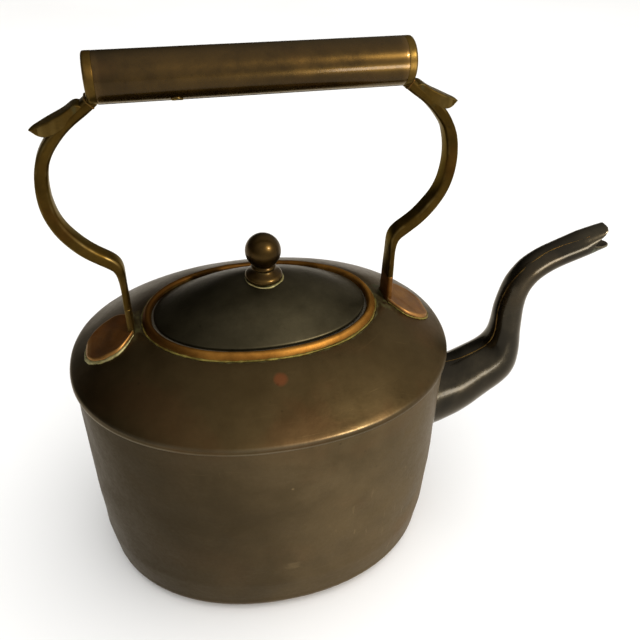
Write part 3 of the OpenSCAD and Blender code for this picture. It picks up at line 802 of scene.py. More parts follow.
rings = [root_ring(-0.1)]
s0 = stp[0]
for k in (0.25, 0.5, 0.75):
    rings.append(root_ring(0) * (1 - k) + st_ring(s0, 0) * k)
rings += [st_ring(s, 0) for s in stp[:LAST + 1]]
n_st0 = 4
for k in (0.15, 0.3, 0.45, 0.6, 0.75, 0.88, 0.97):
    rings.append(lip_ring(0, k))
n_m = len(rings)
rings += [mouth_ring(0.12, 1.0, 0.0), mouth_ring(0.45, 1.0, 0.16), mouth_ring(0.9, 1.0, 0.1), mouth_ring(1.2, 1.0, -0.1)]
n_in = len(rings)
for k in (0.96, 0.8, 0.5, 0.2):
    rings.append(lip_ring(W, k))
rings += [st_ring(s, W) for s in stp[LAST::-4]]
rings.append(root_ring(W))
# hand-worked unevenness along the tube
nr = len(rings)
allv = np.concatenate(rings, 0)
cen = np.repeat(np.array([r.mean(0) for r in rings]), MP, 0)
rad = allv - cen
rl = np.linalg.norm(rad, axis=1)
wob = 0.22 * noise3(allv / 16.0, 41) + 0.08 * noise3(allv / 6.5, 42)
fade = smooth(allv[:, 0], A + 4, A + 16) * (1 - 0.6 * smooth(allv[:, 0], 205, 212))
allv = allv + rad / rl[:, None] * (wob * fade)[:, None]
f = grid_faces(nr, MP, wrap_k=True)
gx = np.zeros((nr, MP))
wx = np.zeros((nr, MP))
for j in range(nr):
    if n_st0 + 128 <= j < n_in:
        gx[j] = 0.08 + 0.42 * smooth(j, n_st0 + 132, n_m) * smooth(np.abs((tt + math.pi) % (2 * math.pi) - math.pi), 1.0, 2.2)
    if n_m <= j < n_in:
        wx[j] = 0.55
    if j >= n_in:
        gx[j] = 0.3
spout = make("spout_gooseneck", allv, f, M_SPOUT, "kettle", ("spout",), {"wear": wx.ravel(), "green": gx.ravel()})

# brazed seam along the spout's upper front side
sm_s = np.array([0, 18, 28, 40, 52, 66, 75, 95, 109, 121, 130, 138, 144, 150, 156]) / sq[-1]
sm_t = np.radians([-4, -6, -12, -14, -17, -23, -24, -20, -26, -29, -25, -26, -30, -35, -38])
qq = np.linspace(0.02, sm_s[-1], 260)
st2 = spline(sq / sq[-1], stp, qq)
t2 = spline(sm_s, sm_t, qq)
seam, nrm = [], []
for s, t in zip(st2, t2):
    c0 = st_ring(s, 0, np.array([t]))[0]
    c1 = st_ring(s, -1.0, np.array([t]))[0]
    seam.append(c0)
    nrm.append((c1 - c0) / np.linalg.norm(c1 - c0))
seam, nrm = np.array(seam), np.array(nrm)
th = np.linspace(0, 1, len(seam))
rad = 0.30 + 0.14 * vnoise(th * 41, 51) + 0.08 * vnoise(th * 97, 52)
rad *= 0.35 + 0.65 * np.clip(1.6 * np.sin(np.pi * np.clip(th * 1.02, 0, 1)), 0, 1)
v, f = tube_along(seam - nrm * 0.12, rad, 8, flat=0.55, up=nrm)
make("spout_seam", v, f, M_SEAM, "kettle")

# flange brazed round the root
ft = 2 * math.pi * np.arange(144) / 144


def flange_ring(w, out):
    y = (ROOT_W + w) * np.sin(ft)
    z = ROOT_Z + (ROOT_H + w) * np.cos(ft)
    return np.stack([wall_x(y, z) + out, y, z], 1)


fn = 0.22 * ring_noise(ft / (2 * math.pi), 27, 61)
rings = []
for w, o in [(-0.2, -0.3), (4.05, -0.3), (4.0, 0.15), (3.8, 0.55), (3.3, 0.9), (2.6, 1.15), (1.9, 1.45), (1.2, 1.9), (0.7, 2.35), (0.3, 2.8), (0.0, 3.1), (-0.25, 3.0)]:
    rr = flange_ring(w, o)
    if w > 0.5 and o > 0:
        rr = rr + np.stack([fn * 0.5, np.sin(ft) * fn * 0.6, np.cos(ft) * fn * 0.6], 1)
    rings.append(rr)
v, f = loft(rings, wrap=True)
nf = len(ft)
g = np.concatenate([np.full(nf, x) for x in (0, 0, .4, .3, .1, 0, 0, 0, .1, .25, .4, .3)])
w_ = np.concatenate([np.full(nf, x) for x in (0, 0, .1, .4, .5, .3, .1, 0, 0, 0, 0.1, 0)])
make("spout_root_flange", v, f, M_SPOUT, "kettle", ("spout_flange",), {"wear": w_, "green": g})

# ---------------------------------------------------------------- handle


def on_handle(p, side=1):
    p = np.array(p, float)
    if side < 0:
        p[:, 0] *= -1
        p[:, 1] *= -1
    c, s = math.cos(YAW), math.sin(YAW)
    x = p[:, 0] * c - p[:, 1] * s + HANDLE_X
    y = p[:, 0] * s + p[:, 1] * c
    return np.stack([x, y, p[:, 2]], 1)


STRAP = [[73.6, 296.4, 5.2], [78.5, 292.5, 5.1], [83.5, 288.7, 4.8], [88.2, 284.9, 5], [92.4, 280.8, 5.3], [96.2, 276.2, 5.5],
         [99.3, 271, 5.7], [101.3, 265.4, 5.9], [102.6, 258.6, 6], [103, 251.4, 6.1], [102.4, 244.6, 6.1], [100.8, 238.2, 6.1],
         [98.1, 232.2, 6.2], [94.4, 226.7, 6.3], [89.2, 220.8, 6.4], [83.4, 216, 6.3], [78.9, 212.7, 6.2], [75.8, 209.4, 5.4],
         [74.5, 205, 4.2], [74.1, 199, 3.3], [74.05, 192, 3.2], [74.05, 184, 3.2], [74.05, 176, 3.3], [74.05, 172, 3.4],
         [74.05, 164, 3.4]]
sp, sps = spline_path(STRAP, 240)
tan = np.gradient(sp[:, :2], axis=0)
tan /= np.linalg.norm(tan, axis=1)[:, None]


def strap_w(z):
    return np.interp(z, [164, 172, 184, 200, 212, 310], [14, 14, 13, 10.8, 10, 10])


def rounded_rect(hw, hh, r, n=6):
    """Closed outline, hw along the width and hh along the thickness."""
    pts = []
    r = min(r, hh * 0.92, hw * 0.92)
    for cx, cy, a0 in ((hw - r, hh - r, 0), (-(hw - r), hh - r, 90), (-(hw - r), -(hh - r), 180), (hw - r, -(hh - r), 270)):
        for a in np.linspace(0, 90, n):
            t = math.radians(a0 + a)
            pts.append((cx + r * math.cos(t), cy + r * math.sin(t)))
    return np.array(pts)


def strap_rings(i0, i1, seed, r=1.35):
    out = []
    for i in range(i0, i1):
        x, z, th = sp[i]
        hw = strap_w(z) / 2
        hw *= 1 + 0.014 * float(vnoise(sps[i] / 9.0, seed))
        hh = th / 2 * (1 + 0.03 * float(vnoise(sps[i] / 7.0, seed + 1)))
        o = rounded_rect(hw, hh, r)
        # outer face a little crowned
        cr = 0.28 * (1 - (o[:, 0] / hw) ** 2)
        o[:, 1] += np.sign(o[:, 1]) * cr * (np.abs(o[:, 1]) > hh * 0.6)
        nx, nz = -tan[i, 1], tan[i, 0]
        dx = 0.12 * float(vnoise(sps[i] / 12.0, seed + 2))
        p = np.stack([x + nx * o[:, 1], o[:, 0] + dx, z + nz * o[:, 1]], 1)
        out.append(p)
    return out


def cap_faces(v, f, k, m):
    f.append(tuple(range(m - 1, -1, -1)))
    f.append(tuple((k - 1) * m + i for i in range(m)))
    return v, f


JOINT = int(np.argmin(np.abs(sp[:, 1] - 184)))
BR = 2.0
for side, nm, seed in ((-1, "rear", 71), (1, "front", 81)):
    rr = strap_rings(0, JOINT + 1, seed, BR)
    m = len(rr[0])
    v, f = loft(rr)
    v, f = cap_faces(v, f, len(rr), m)
    zz = v[:, 2].copy()
    ang = np.tile(np.arange(m), len(rr))
    # corners rubbed bright, and green by the thumb leaf and the grip
    edge = np.zeros(m)
    for c in (2, 3, 8, 9, 14, 15, 20, 21):
        edge[c] = 1.0
    idx = np.repeat(np.arange(len(rr)), m)
    wear = edge[ang] * (0.12 + 0.42 * vnoise(sps[idx] / 8.0, seed + 5) + 0.25 * vnoise(sps[idx] / 3.1, seed + 6))
    wear = np.clip(wear, 0, 1)
    green = 0.42 * np.exp(-((sps[idx] - 19) / 4.0) ** 2) + 0.3 * np.exp(-(sps[idx] / 3.0) ** 2)
    v = on_handle(v, side)
    make(nm + "_bracket_arm", v, f, M_BRASS, "kettle", (nm + "_bracket",), {"wear": wear, "green": green})

# leaf-shaped thumb rests
TOPL = np.array([[78.2, 294.6], [81.5, 295.3], [85.2, 293.2], [89.8, 290.6], [94.9, 288.3], [99.2, 286.5], [102.2, 285.0], [103.2, 284.1]])
BOTL = np.array([[78.2, 291.0], [84, 287.2], [89, 284.2], [93, 282.2], [95.6, 281.4], [98.2, 281.3], [101.2, 282.4], [103.2, 283.9]])
HWL = np.array([[78.2, 4.85], [84, 4.95], [89, 5.0], [92, 5.02], [94.5, 4.7], [97, 4.0], [99.5, 3.0], [101, 2.25], [102.1, 1.5],
                [102.8, 0.9], [103.2, 0.4]])
xs = np.r_[np.linspace(78.2, 98, 34), np.linspace(98.4, 103.15, 18)]
zt = spline(TOPL[:, 0], TOPL[:, 1], xs)
zb = spline(BOTL[:, 0], BOTL[:, 1], xs)
hw = np.interp(xs, HWL[:, 0], HWL[:, 1])
hw = np.convolve(np.r_[hw[:1], hw, hw[-1:]], np.ones(3) / 3, "valid")
hw[-1] = 0.5
for side, nm, seed in ((-1, "rear", 91), (1, "front", 95)):
    rr, wr = [], []
    for x, a, b, w in zip(xs, zt, zb, hw):
        b = min(b, a - 0.35)
        w = w * (1 + 0.012 * float(vnoise(x / 4.0, seed + 1)))
        o = rounded_rect(w, (a - b) / 2, 0.95 + 0.3 * smooth(x, 96, 102))
        sag = 0.14 * (1 - (o[:, 0] / w) ** 2) * (o[:, 1] > 0) * min(1.0, (a - b) / 6)     # shallow thumb hollow
        z = (a + b) / 2 + o[:, 1] - sag
        rr.append(np.stack([np.full(len(o), x), o[:, 0] + 0.1 * float(vnoise(x / 3.0, seed)), z], 1))
        cr = (np.abs(o[:, 0]) > w * 0.72) & (np.abs(o[:, 1]) > (a - b) * 0.28)
        wr.append(np.clip(0.4 * cr, 0, 1) * (0.25 + 0.75 * smooth(x, 84, 100)) * (0.7 + 0.3 * float(vnoise(x / 2.0, seed + 2))))
    v, f = loft(rr)
    v, f = cap_faces(v, f, len(rr), len(rr[0]))
    wr = np.concatenate(wr)
    gg = 0.5 * np.exp(-((v[:, 0] - 81.5) / 2.6) ** 2) + 0.3 * np.exp(-((v[:, 0] - 93) / 2.5) ** 2) * (v[:, 2] < 284)
    v = on_handle(v, side)
    make(nm + "_thumb_rest", v, f, M_BRASS, "kettle", (nm + "_thumb_leaf",), {"wear": wr, "green": gg})

# leaf feet on the shoulder with their copper stubs
FT = 2.0


def foot_w(x):
    x = np.asarray(x, float)
    return np.where(x < 84, 7.4 + 9.1 * np.sin(np.radians(90 * (np.minimum(x, 84) - 72.9) / 11.1)),
                    16.5 * np.maximum(0, 1 - (np.maximum(x - 84, 0) / 16.4) ** 2.4) ** (1 / 2.2))


def foot_pt(x, y, h, side):
    p = on_handle(np.stack([x, y, np.zeros_like(x)], 1), side)
    p[:, 2] = dome_z(p[:, 0], p[:, 1]) + h
    return p


for side, nm, seed, mat in ((-1, "rear", 101, M_FOOT_L), (1, "front", 111, M_WARM)):
    tx = np.linspace(0, 1, 46)
    fx = 72.9 + 27.45 * (1 - (1 - tx) ** 1.7)
    qs = np.linspace(-1, 1, 43)
    rows, wr, gg = [], [], []
    for x in fx:
        w = float(foot_w(x))
        e = ((x - 72.9) / 27.3) ** 4
        top = FT * (0.95 + 0.55 * np.abs(qs) ** 3 * (1 - e) + 0.3 * e)
        rnd = smooth(1 - np.abs(qs), 0, min(0.3, 0.9 / max(w, 1)))     # rounded edge
        top = top * (0.45 + 0.55 * rnd ** 0.5)
        tp_ = smooth(100.35 - x, 0.0, 1.2)
        top = top * (0.45 + 0.55 * tp_)
        y = qs * w
        top = top + 0.10 * vnoise(qs * 4 + x / 3.0, seed)
        up = foot_pt(np.full_like(y, x), y, top, side)
        y2 = y[::-1] * 0.985
        dn = foot_pt(np.full_like(y2, x), y2, np.full_like(y2, -0.3), side)
        rows.append(np.concatenate([up, dn], 0))
        ed = smooth(np.abs(qs), 0.86, 0.97)
        wv = np.clip(ed * 0.85 + smooth(x, 96, 100), 0, 1) * 0.9
        wr.append(np.concatenate([wv, np.zeros_like(y2)]))
        gv = 0.35 * (1 - smooth(x, 73, 75)) + 0.22 * (1 - smooth(np.hypot(x - 74, y / 1.3), 6, 9))
        gg.append(np.concatenate([gv * np.ones_like(y), np.zeros_like(y2)]))
    m = len(rows[0])
    k = len(rows)
    v = np.concatenate(rows, 0)
    f = grid_faces(k, m)
    h = len(qs)
    for j in range(h - 1):
        a, b, c, d = j, j + 1, m - 2 - j, m - 1 - j
        f.append((d, c, b, a))
        o = (k - 1) * m
        f.append((o + a, o + b, o + c, o + d))
    # stub of the arm standing on the leaf
    rr = strap_rings(JOINT - 1, len(sp), seed + 3, 1.3)
    sv, sf = loft(rr)
    sv, sf = cap_faces(sv, sf, len(rr), len(rr[0]))
    sv = on_handle(sv, side)
    sw = np.full(len(sv), 0.2)
    sg = 0.4 * (1 - smooth(sv[:, 2], 168, 174))
    make(nm + "_foot_leaf", v, f, mat, "kettle", (nm + "_foot",),
         {"wear": np.concatenate(wr), "green": np.concatenate(gg)})
    make(nm + "_foot_stub", sv, sf, M_BRASS if side < 0 else M_FOOT_L, "kettle", (),
         {"wear": sw, "green": sg})

    # braze squeezed out round the leaf
    xa = np.linspace(0, 1, 150)
    fxo = 73.2 + 27.1 * (1 - (1 - xa) ** 2.2)
    one = np.stack([fxo, foot_w(fxo)], 1)
    outl = np.concatenate([one * [1, -1], one[::-1][1:]], 0)
    L = np.r_[0, np.cumsum(np.hypot(*np.diff(outl, axis=0).T))]
    qn = np.linspace(0, L[-1], 300)
    ox = np.interp(qn, L, outl[:, 0])
    oy = np.interp(qn, L, outl[:, 1])
    tn = qn / L[-1]
    wob = 0.25 + 0.3 * vnoise(tn * 33, seed + 7)
    cxm = 84.0
    dr = np.stack([ox - cxm, oy], 1)
    dr /= np.linalg.norm(dr, axis=1)[:, None]
    bx, by = ox + dr[:, 0] * wob, oy + dr[:, 1] * wob
    path = foot_pt(bx, by, np.full_like(bx, 0.35), side)
    base_r = (0.5 if side < 0 else 0.42) + 0.2 * vnoise(tn * 29, seed + 8) + 0.14 * vnoise(tn * 83, seed + 9)
    # heavier on the side that faces the spout end of the front and the collar of the rear leaf
    front_y = -path[:, 1]
    base_r = base_r + smooth(front_y, 0, 10) * (0.62 if side < 0 else 0.2)
    base_r *= np.clip(8 * np.minimum(tn, 1 - tn), 0.25, 1)
    v, f = tube_along(path, np.maximum(base_r, 0.25), 8, flat=0.85)
    make(nm + "_foot_braze", v, f, M_SOLDER if side < 0 else M_BRAZE, "kettle")

# end caps: turned brass with rounded edges
GH = 75.7
CT = 4.4


def lathe_x(prof, n=120):
    t = 2 * math.pi * np.arange(n) / n
    return [np.stack([np.full(n, p[0]), p[1] * np.cos(t), GRIP_Z + p[1] * np.sin(t)], 1) for p in prof]


for side, nm in ((-1, "rear"), (1, "front")):
    rin = GRIP_R - 1.4
    pr = [(GH - CT - 4, 3), (GH - CT - 4, rin - 0.4), (GH - CT - 3.6, rin), (GH - CT - 0.05, rin), (GH - CT + 0.01, GRIP_R - 0.09),
          (GH - CT + 0.06, GRIP_R - 0.05), (GH - CT + 0.2, GRIP_R - 0.03), (GH - CT + 1.2, GRIP_R - 0.01), (GH - 1.9, GRIP_R - 0.02),
          (GH - 1.05, GRIP_R - 0.08), (GH - 0.62, GRIP_R - 0.32), (GH - 0.3, GRIP_R - 0.75), (GH - 0.12, GRIP_R - 1.3),
          (GH + 0.02, GRIP_R - 2.4), (GH + 0.16, GRIP_R - 5), (GH + 0.26, 3.5), (GH + 0.3, 1.0)]
    rr = lathe_x(pr)
    v, f = loft(rr, pole0=[GH - CT - 4, 0, GRIP_Z], pole1=[GH + 0.31, 0, GRIP_Z])
    n = 120
    wv = np.concatenate([np.full(n, x) for x in (0, 0, 0, 0, 0, 0.05, .1, .1, .1, .25, .3, .25, .15, .1, .1, .1, .1)])
    wv = np.r_[wv, 0, 0.1]
    gv = np.concatenate([np.full(n, x) for x in (0, 0, 0, 0, 0.2, 0.15, .05, 0, 0, 0, 0, 0, 0, 0, 0.05, .1, .1)])
    gv = np.r_[gv, 0, 0.1]
    v = on_handle(v, side)
    make(nm + "_grip_cap", v, f, M_CAP, "kettle", (nm + "_end_cap",), {"wear": wv, "green": gv})

# grip tube: wrapped copper sheet with a lapped seam underneath, and a vent hole
NG = 192
tg = 2 * math.pi * np.arange(NG) / NG
gx_ = np.linspace(-(GH - CT) + 0.05, (GH - CT) - 0.05, 90)
rings = []
gw = []
SEAM_A = math.radians(-112)


def grip_ring(x, r, wob=True):
    rr_ = np.full(NG, float(r))
    if wob:
        p = np.stack([np.full(NG, x / 24.0), np.cos(tg) * 1.4, np.sin(tg) * 1.4], 1)
        rr_ = rr_ + 0.045 * noise3(p, 121)
        da = (tg - SEAM_A + math.pi) % (2 * math.pi) - math.pi
        lap = np.where(da > 0, np.exp(-(da / 0.16) ** 2), 0) * 0.22 - 0.22 * np.exp(-((da + 0.012) / 0.012) ** 2)
        rr_ = rr_ + lap
    return np.stack([np.full(NG, x), rr_ * np.cos(tg), GRIP_Z + rr_ * np.sin(tg)], 1)


rings.append(grip_ring(gx_[0] - 0.03, GRIP_R - 0.1))
for x in gx_:
    e = min(x - gx_[0], gx_[-1] - x)
    rings.append(grip_ring(x + (0.1 if e == 0 and x < 0 else -0.1 if e == 0 else 0), GRIP_R - 0.05))
rings.append(grip_ring(gx_[-1] + 0.03, GRIP_R - 0.1))
n_o = len(rings)
rings.append(grip_ring(gx_[-1], GRIP_R - 1.3, False))
for x in gx_[::-6]:
    rings.append(grip_ring(x, GRIP_R - 1.3, False))
rings.append(grip_ring(gx_[0], GRIP_R - 1.3, False))
v, f = loft(rings, wrap=True)
wv = np.zeros(len(v))
outer = np.arange(len(v)) < n_o * NG
ex = np.minimum(v[:, 0] - gx_[0], gx_[-1] - v[:, 0])
wv = np.where(outer, 0.45 * np.exp(-(ex / 2.0) ** 2), 0)
gv = np.where(outer, 0.12 * np.exp(-(ex / 0.8) ** 2), 0)
v = on_handle(v, 1)
grip = make("grip_sleeve", v, f, M_GRIP, "kettle", ("grip_tube",), {"wear": wv, "green": gv})
# vent hole: direction below the front, with a burr turned up round it
VD = np.array([0, -math.sin(math.radians(148)), math.cos(math.radians(148))])
VX = -37.0
e1 = np.array([1.0, 0, 0])
e2 = np.cross(VD, e1)
hc = []
for d in (6.0, 16.0):
    hc.append(np.array([[VX, 0, GRIP_Z] + VD * d + 2.0 * (math.cos(t) * e1 * 1.15 + math.sin(t) * e2 * 0.85) for t in np.linspace(0, 2 * math.pi, 33)[:-1]]))
cv, cf = loft(hc, pole0=np.array([VX, 0, GRIP_Z]) + VD * 6, pole1=np.array([VX, 0, GRIP_Z]) + VD * 16)
cm = bpy.data.meshes.new("cut2")
cm.from_pydata((on_handle(cv, 1) * MM).tolist(), [], cf)
co = bpy.data.objects.new("cutter2", cm)
bpy.context.scene.collection.objects.link(co)
boolean_cut(grip, co)
# burr
tb = np.linspace(0, 2 * math.pi, 65)[:-1]
pts = []
for t in tb:
    o = 2.15 * (math.cos(t) * e1 * 1.15 + math.sin(t) * e2 * 0.85)
    lat = o @ e2
    r_here = math.sqrt(max(0.0, (GRIP_R - 0.05) ** 2 - lat ** 2))
    pts.append(np.array([VX, 0, GRIP_Z]) + o + VD * (r_here + 0.12 + 0.25 * max(0.0, math.cos(t - 0.4))))
pts = on_handle(np.array(pts), 1)
v, f = tube_along(pts, 0.34 + 0.1 * ring_noise(tb / (2 * math.pi), 9, 131), 8, closed=True, up=VD)
make("grip_vent_burr", v, f, M_CAP, "kettle", (), {"wear": np.full(len(v), 0.8), "green": np.full(len(v), 0.1)})

# braze fillets where each arm meets its cap
for side, nm, seed in ((-1, "rear", 141), (1, "front", 151)):
    o = rounded_rect(5.0, 2.6, 1.6, 8)
    nx, nz = -tan[5, 1], tan[5, 0]
    pth = np.stack([sp[5, 0] + nx * o[:, 1], o[:, 0], sp[5, 1] + nz * o[:, 1]], 1)
    pth = pth + np.array([-0.8, 0, 0.9])
    rr_ = 0.4 + 0.28 * ring_noise(np.arange(len(pth)) / len(pth), 11, seed)
    v, f = tube_along(on_handle(pth, side), rr_, 8, closed=True, up=(0.6 * side, 0, 0.8))
    make(nm + "_arm_braze", v, f, M_SEAM, "kettle")

# ---------------------------------------------------------------- lid

LX = COL_X


def lid_out(v):
    v = np.asarray(v, float)
    return LID_Z + 1.8 + LID_RISE * np.where(v < 0.2, 1 - 0.012 * (v / 0.2) ** 2, 0.988 - 0.988 * (np.maximum(v - 0.2, 0) / 0.8) ** 1.35)


def lid_wave(x, y):
    p = np.stack([x / 24.0, y / 24.0, np.zeros_like(x)], 1)
    w = 0.20 * noise3(p, 161) + 0.05 * noise3(p * 2.3, 162)
    w = w - 0.55 * np.exp(-(((x - 24) / 9.0) ** 2) - ((y - 4) / 12.0) ** 2)
    w = w - 0.40 * np.exp(-(((x + 30) / 10.0) ** 2) - ((y - 10) / 9.0) ** 2)
    return w


ML = 320
N_LID = 2.1
lp = [(0.955, 0.0), (0.985, 0.0), (0.996, 0.12), (1.0, 0.42), (1.0, 0.9), (0.9992, 1.25), (0.9975, 1.55), (0.9945, 1.82)]
vs = np.r_[np.linspace(0.988, 0.9, 9), np.linspace(0.885, 0.22, 34), np.linspace(0.2, 0.04, 6)]
rings, wr = [], []
for a, z in lp:
    rings.append(ring(LID_A * a, LID_B * a, LID_Z + z, ML, LX, N_LID))
    wr.append(np.full(ML, {3: .3, 4: .5, 5: .6, 6: .6, 7: .35}.get(len(rings) - 1, 0.0)) * (0.75 + 0.25 * ring_noise(np.arange(ML) / ML, 31, 171)))
for a in vs:
    r = ring(LID_A * a, LID_B * a, float(lid_out(a)), ML, LX, N_LID)
    fd = smooth(1 - a, 0.05, 0.2) * smooth(a, 0.16, 0.3)
    r[:, 2] += lid_wave(r[:, 0], r[:, 1]) * fd
    rings.append(r)
    wr.append(np.zeros(ML))
n_lo = len(rings)
for a in np.r_[0.04, np.linspace(0.15, 0.9, 18), 0.94]:
    r = ring(LID_A * a, LID_B * a, min(float(lid_out(a)) - 1.25, LID_TOP - 1.3), ML, LX, N_LID)
    fd = smooth(1 - a, 0.05, 0.2) * smooth(a, 0.16, 0.3)
    r[:, 2] += lid_wave(r[:, 0], r[:, 1]) * fd
    rings.append(r)
    wr.append(np.zeros(ML))
v, f = loft(rings, wrap=False)
# close: centre top to centre underside is bored for the knob's tang
m = ML
k = len(rings)
v = np.asarray(v)
# the two ends of this strip are the hem's inner edge at the start and the underside's edge at the end
for i in range(m):
    i2 = (i + 1) % m
    f.append(((k - 1) * m + i, (k - 1) * m + i2, i2, i))
gl = np.concatenate([np.full(ML, 0.18 if 6 < j < 10 else 0.0) for j in range(k)])
kd = np.hypot(v[:, 0] - KNOB_X, v[:, 1])
gl = np.maximum(gl, 0.42 * (1 - smooth(kd, 10.5, 12.6)) * (np.arange(len(v)) < n_lo * ML))
make("lid_cover_dome", v, f, M_LID, "lid", ("lid_cover",), {"wear": np.concatenate(wr), "green": gl})

fs = (LID_A - 2.7) / LID_A
fa, fb = LID_A * fs - 0.02, LID_B * fs - 0.02
zt_ = float(lid_out(0.94)) - 1.6
fl_lo, fl_hi = nbox("lid_flange")
rings = [ring(fa - p, fb - p, z, 256, LX, N_LID) for p, z in
         [(0, zt_), (0, fl_lo[2] + 0.35), (0.12, fl_lo[2] + 0.1), (0.35, fl_lo[2]), (0.65, fl_lo[2]), (0.88, fl_lo[2] + 0.1), (1, fl_lo[2] + 0.35), (1, zt_)]]
v, f = loft(rings, wrap=True)
make("lid_plug_flange", v, f, M_INNER, "lid", ("lid_flange",))

# knob: turned bronze
kz = LID_TOP
KP = [(9.3, 0.0), (9.9, 0.12), (10.3, 0.5), (10.42, 1.1), (10.4, 1.9), (10.2, 2.6), (9.7, 3.2), (9.0, 3.75), (8.2, 4.3), (7.4, 4.9), (6.75, 5.5),
      (6.35, 6.0), (6.25, 6.4), (6.45, 6.65), (6.75, 6.9), (6.85, 7.4), (6.8, 7.9), (6.5, 8.25), (6.1, 8.6), (5.95, 9.0), (6.03, 9.6), (6.2, 10.6), (6.35, 11.2)]
BR_ = 9.8
BALL_UP = kn_hi[2] - LID_TOP - BR_
ball = [(BR_ * math.cos(math.radians(t)), BALL_UP + BR_ * math.sin(math.radians(t))) for t in np.arange(-52, 90, 4.0)]
KP = [p for p in KP if p[1] < ball[0][1] - 0.4] + ball
NK = 128
tk = 2 * math.pi * np.arange(NK) / NK
rings = []
inner = [(3.02, 0.0), (3.02, 8.0)]
rings = [np.stack([KNOB_X + p[0] * np.cos(tk), p[0] * np.sin(tk), np.full(NK, kz + p[1])], 1) for p in ([(3.02, 8.0), (3.02, 0.02)] + KP)]
v, f = loft(rings, pole0=[KNOB_X, 0, kz + 8.0], pole1=[KNOB_X, 0, kz + BALL_UP + BR_])
wv = np.concatenate([np.full(NK, 0.0), np.full(NK, 0.0)] + [np.full(NK, 0.5 if (1 < p[1] < 3.4 or 6.8 < p[1] < 8.2) else (0.3 if p[1] > BALL_UP else 0.1)) for p in KP])
gv = np.concatenate([np.full(NK, 0.0), np.full(NK, 0.0)] + [np.full(NK, 0.6 if p[1] < 0.8 else (0.35 if 5 < p[1] < 6.6 or 8.4 < p[1] < 10 else 0.0)) for p in KP])
make("knob_turned", v, f, M_BRONZE, "lid", ("lid_knob",), {"wear": np.r_[wv, 0, .4], "green": np.r_[gv, 0, 0]})

# solder round the knob's foot
ts = 2 * math.pi * np.arange(220) / 220
th = ts / (2 * math.pi)
rr_ = 10.35 + 0.3 * ring_noise(th, 13, 181)
hz = lid_out(np.hypot((rr_ * np.cos(ts) + KNOB_X - LX) / LID_A, rr_ * np.sin(ts) / LID_B))
path = np.stack([KNOB_X + rr_ * np.cos(ts), rr_ * np.sin(ts), np.asarray(hz) + 0.15], 1)
fr = 0.5 + 0.5 * np.cos(ts - math.radians(-50))
rad = 0.24 + 0.5 * fr + 0.16 * ring_noise(th, 17, 182) + 0.1 * ring_noise(th, 47, 183)
v, f = tube_along(path, np.maximum(rad, 0.2), 8, closed=True, flat=0.7)
make("knob_solder", v, f, M_SOLDER, "lid")

# small CAD pieces under the lid keep their shape
for node in ("knob_washer", "knob_rivet"):
    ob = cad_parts[node]
    ob.data.materials.clear()
    ob.data.materials.append(M_BRONZE)

# ---------------------------------------------------------------- stage

fl = Nodes("floor_paper")
n1 = fl.noise(2.2, 4, 0.5)
fl.link(fl.mix(fl.remap(n1, 0.3, 0.7), (0.86, 0.86, 0.855), (0.9, 0.9, 0.895)), fl.bsdf.inputs["Base Color"])
fl.bsdf.inputs["Roughness"].default_value = 0.9
fl.bsdf.inputs["Specular IOR Level"].default_value = 0.1
fme = bpy.data.meshes.new("floor")
bm = bmesh.new()
bmesh.ops.create_grid(bm, x_segments=8, y_segments=8, size=6.0)
bm.to_mesh(fme)
bm.free()
floor = bpy.data.objects.new("floor", fme)
bpy.context.scene.collection.objects.link(floor)
fme.materials.append(fl.mat)
floor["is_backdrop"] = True

world = bpy.data.worlds.new("studio")
bpy.context.scene.world = world
world.use_nodes = True
wt = world.node_tree
bg = wt.nodes["Background"]
wc = wt.nodes.new("ShaderNodeTexCoord")
dot = wt.nodes.new("ShaderNodeVectorMath")
dot.operation = "DOT_PRODUCT"
dot.inputs[1].default_value = (0.55, -0.50, 0.67)
wt.links.new(wc.outputs["Generated"], dot.inputs[0])
wr_ = wt.nodes.new("ShaderNodeMapRange")
wr_.interpolation_type = "SMOOTHSTEP"
wr_.inputs["From Min"].default_value = -0.42
wr_.inputs["From Max"].default_value = 1.0
wr_.inputs["To Min"].default_value = 0.05
wr_.inputs["To Max"].default_value = 1.2
wt.links.new(dot.outputs["Value"], wr_.inputs["Value"])
bg.inputs[0].default_value = (1.0, 0.985, 0.96, 1)
wt.links.new(wr_.outputs["Result"], bg.inputs[1])


def aim(ob, loc, target):
    ob.location = loc
    ob.rotation_mode = "QUATERNION"
    ob.rotation_quaternion = (Vector(target) - Vector(loc)).to_track_quat("-Z", "Y")


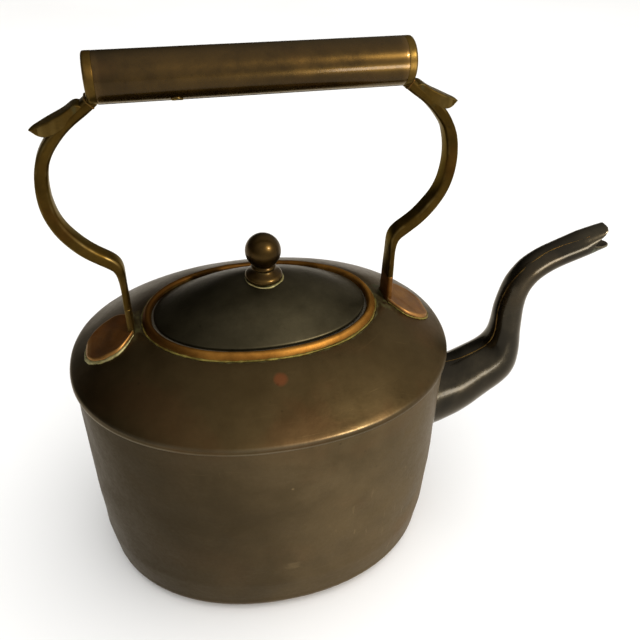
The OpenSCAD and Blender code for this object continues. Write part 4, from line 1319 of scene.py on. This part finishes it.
def area(name, loc, target, size, power, color=(1, 1, 1), size_y=None):
    li = bpy.data.lights.new(name, "AREA")
    li.shape = "RECTANGLE"
    li.size = size
    li.size_y = size_y or size
    li.energy = power
    li.color = color
    ob = bpy.data.objects.new(name, li)
    bpy.context.scene.collection.objects.link(ob)
    aim(ob, loc, target)
    return ob


KETTLE = bpy.data.collections.new("kettle_pieces")
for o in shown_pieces():
    KETTLE.objects.link(o)
sun = bpy.data.lights.new("key", "SUN")
sun.energy = 3.6
sun.angle = math.radians(5)
sun.color = (1.0, 0.93, 0.83)
so = bpy.data.objects.new("key", sun)
bpy.context.scene.collection.objects.link(so)
aim(so, (0.509 * 3, -0.64 * 3, 0.575 * 3 + 0.2), (0, 0, 0.2))
so.light_linking.receiver_collection = KETTLE
SIDE = bpy.data.collections.new("side_lit")
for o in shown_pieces():
    if o.name.startswith(("body_shell", "spout", "grip", "front_grip")):
        SIDE.objects.link(o)
low = area("low_right", (0.58, -0.9, 0.10), (0.03, 0, 0.09), 0.55, 11.0, (1.0, 0.98, 0.95), 0.26)
low.light_linking.receiver_collection = SIDE
FLOOR = bpy.data.collections.new("floor_only")
FLOOR.objects.link(floor)
soft = area("floor_wash", (0.3, -0.3, 2.6), (0, 0, 0), 3.4, 62.0, (1, 1, 1))
soft.light_linking.receiver_collection = FLOOR

# ---------------------------------------------------------------- camera

cam = bpy.data.cameras.new("camera")
cam.sensor_width = 36.0
cam.lens = 39.273
cam.clip_start = 0.01
cam.clip_end = 30
cam.dof.use_dof = False
cob = bpy.data.objects.new("camera", cam)
bpy.context.scene.collection.objects.link(cob)
rgt = (0.973582, -0.227251, 0.022230)
upv = (0.118511, 0.586123, 0.801508)
bck = (-0.195173, -0.777700, 0.597571)
cob.matrix_world = Matrix(((rgt[0], upv[0], bck[0], -0.046600), (rgt[1], upv[1], bck[1], -0.323306),
                           (rgt[2], upv[2], bck[2], 0.404940), (0, 0, 0, 1)))
bpy.context.scene.camera = cob
bpy.context.scene.view_settings.view_transform = "Standard"
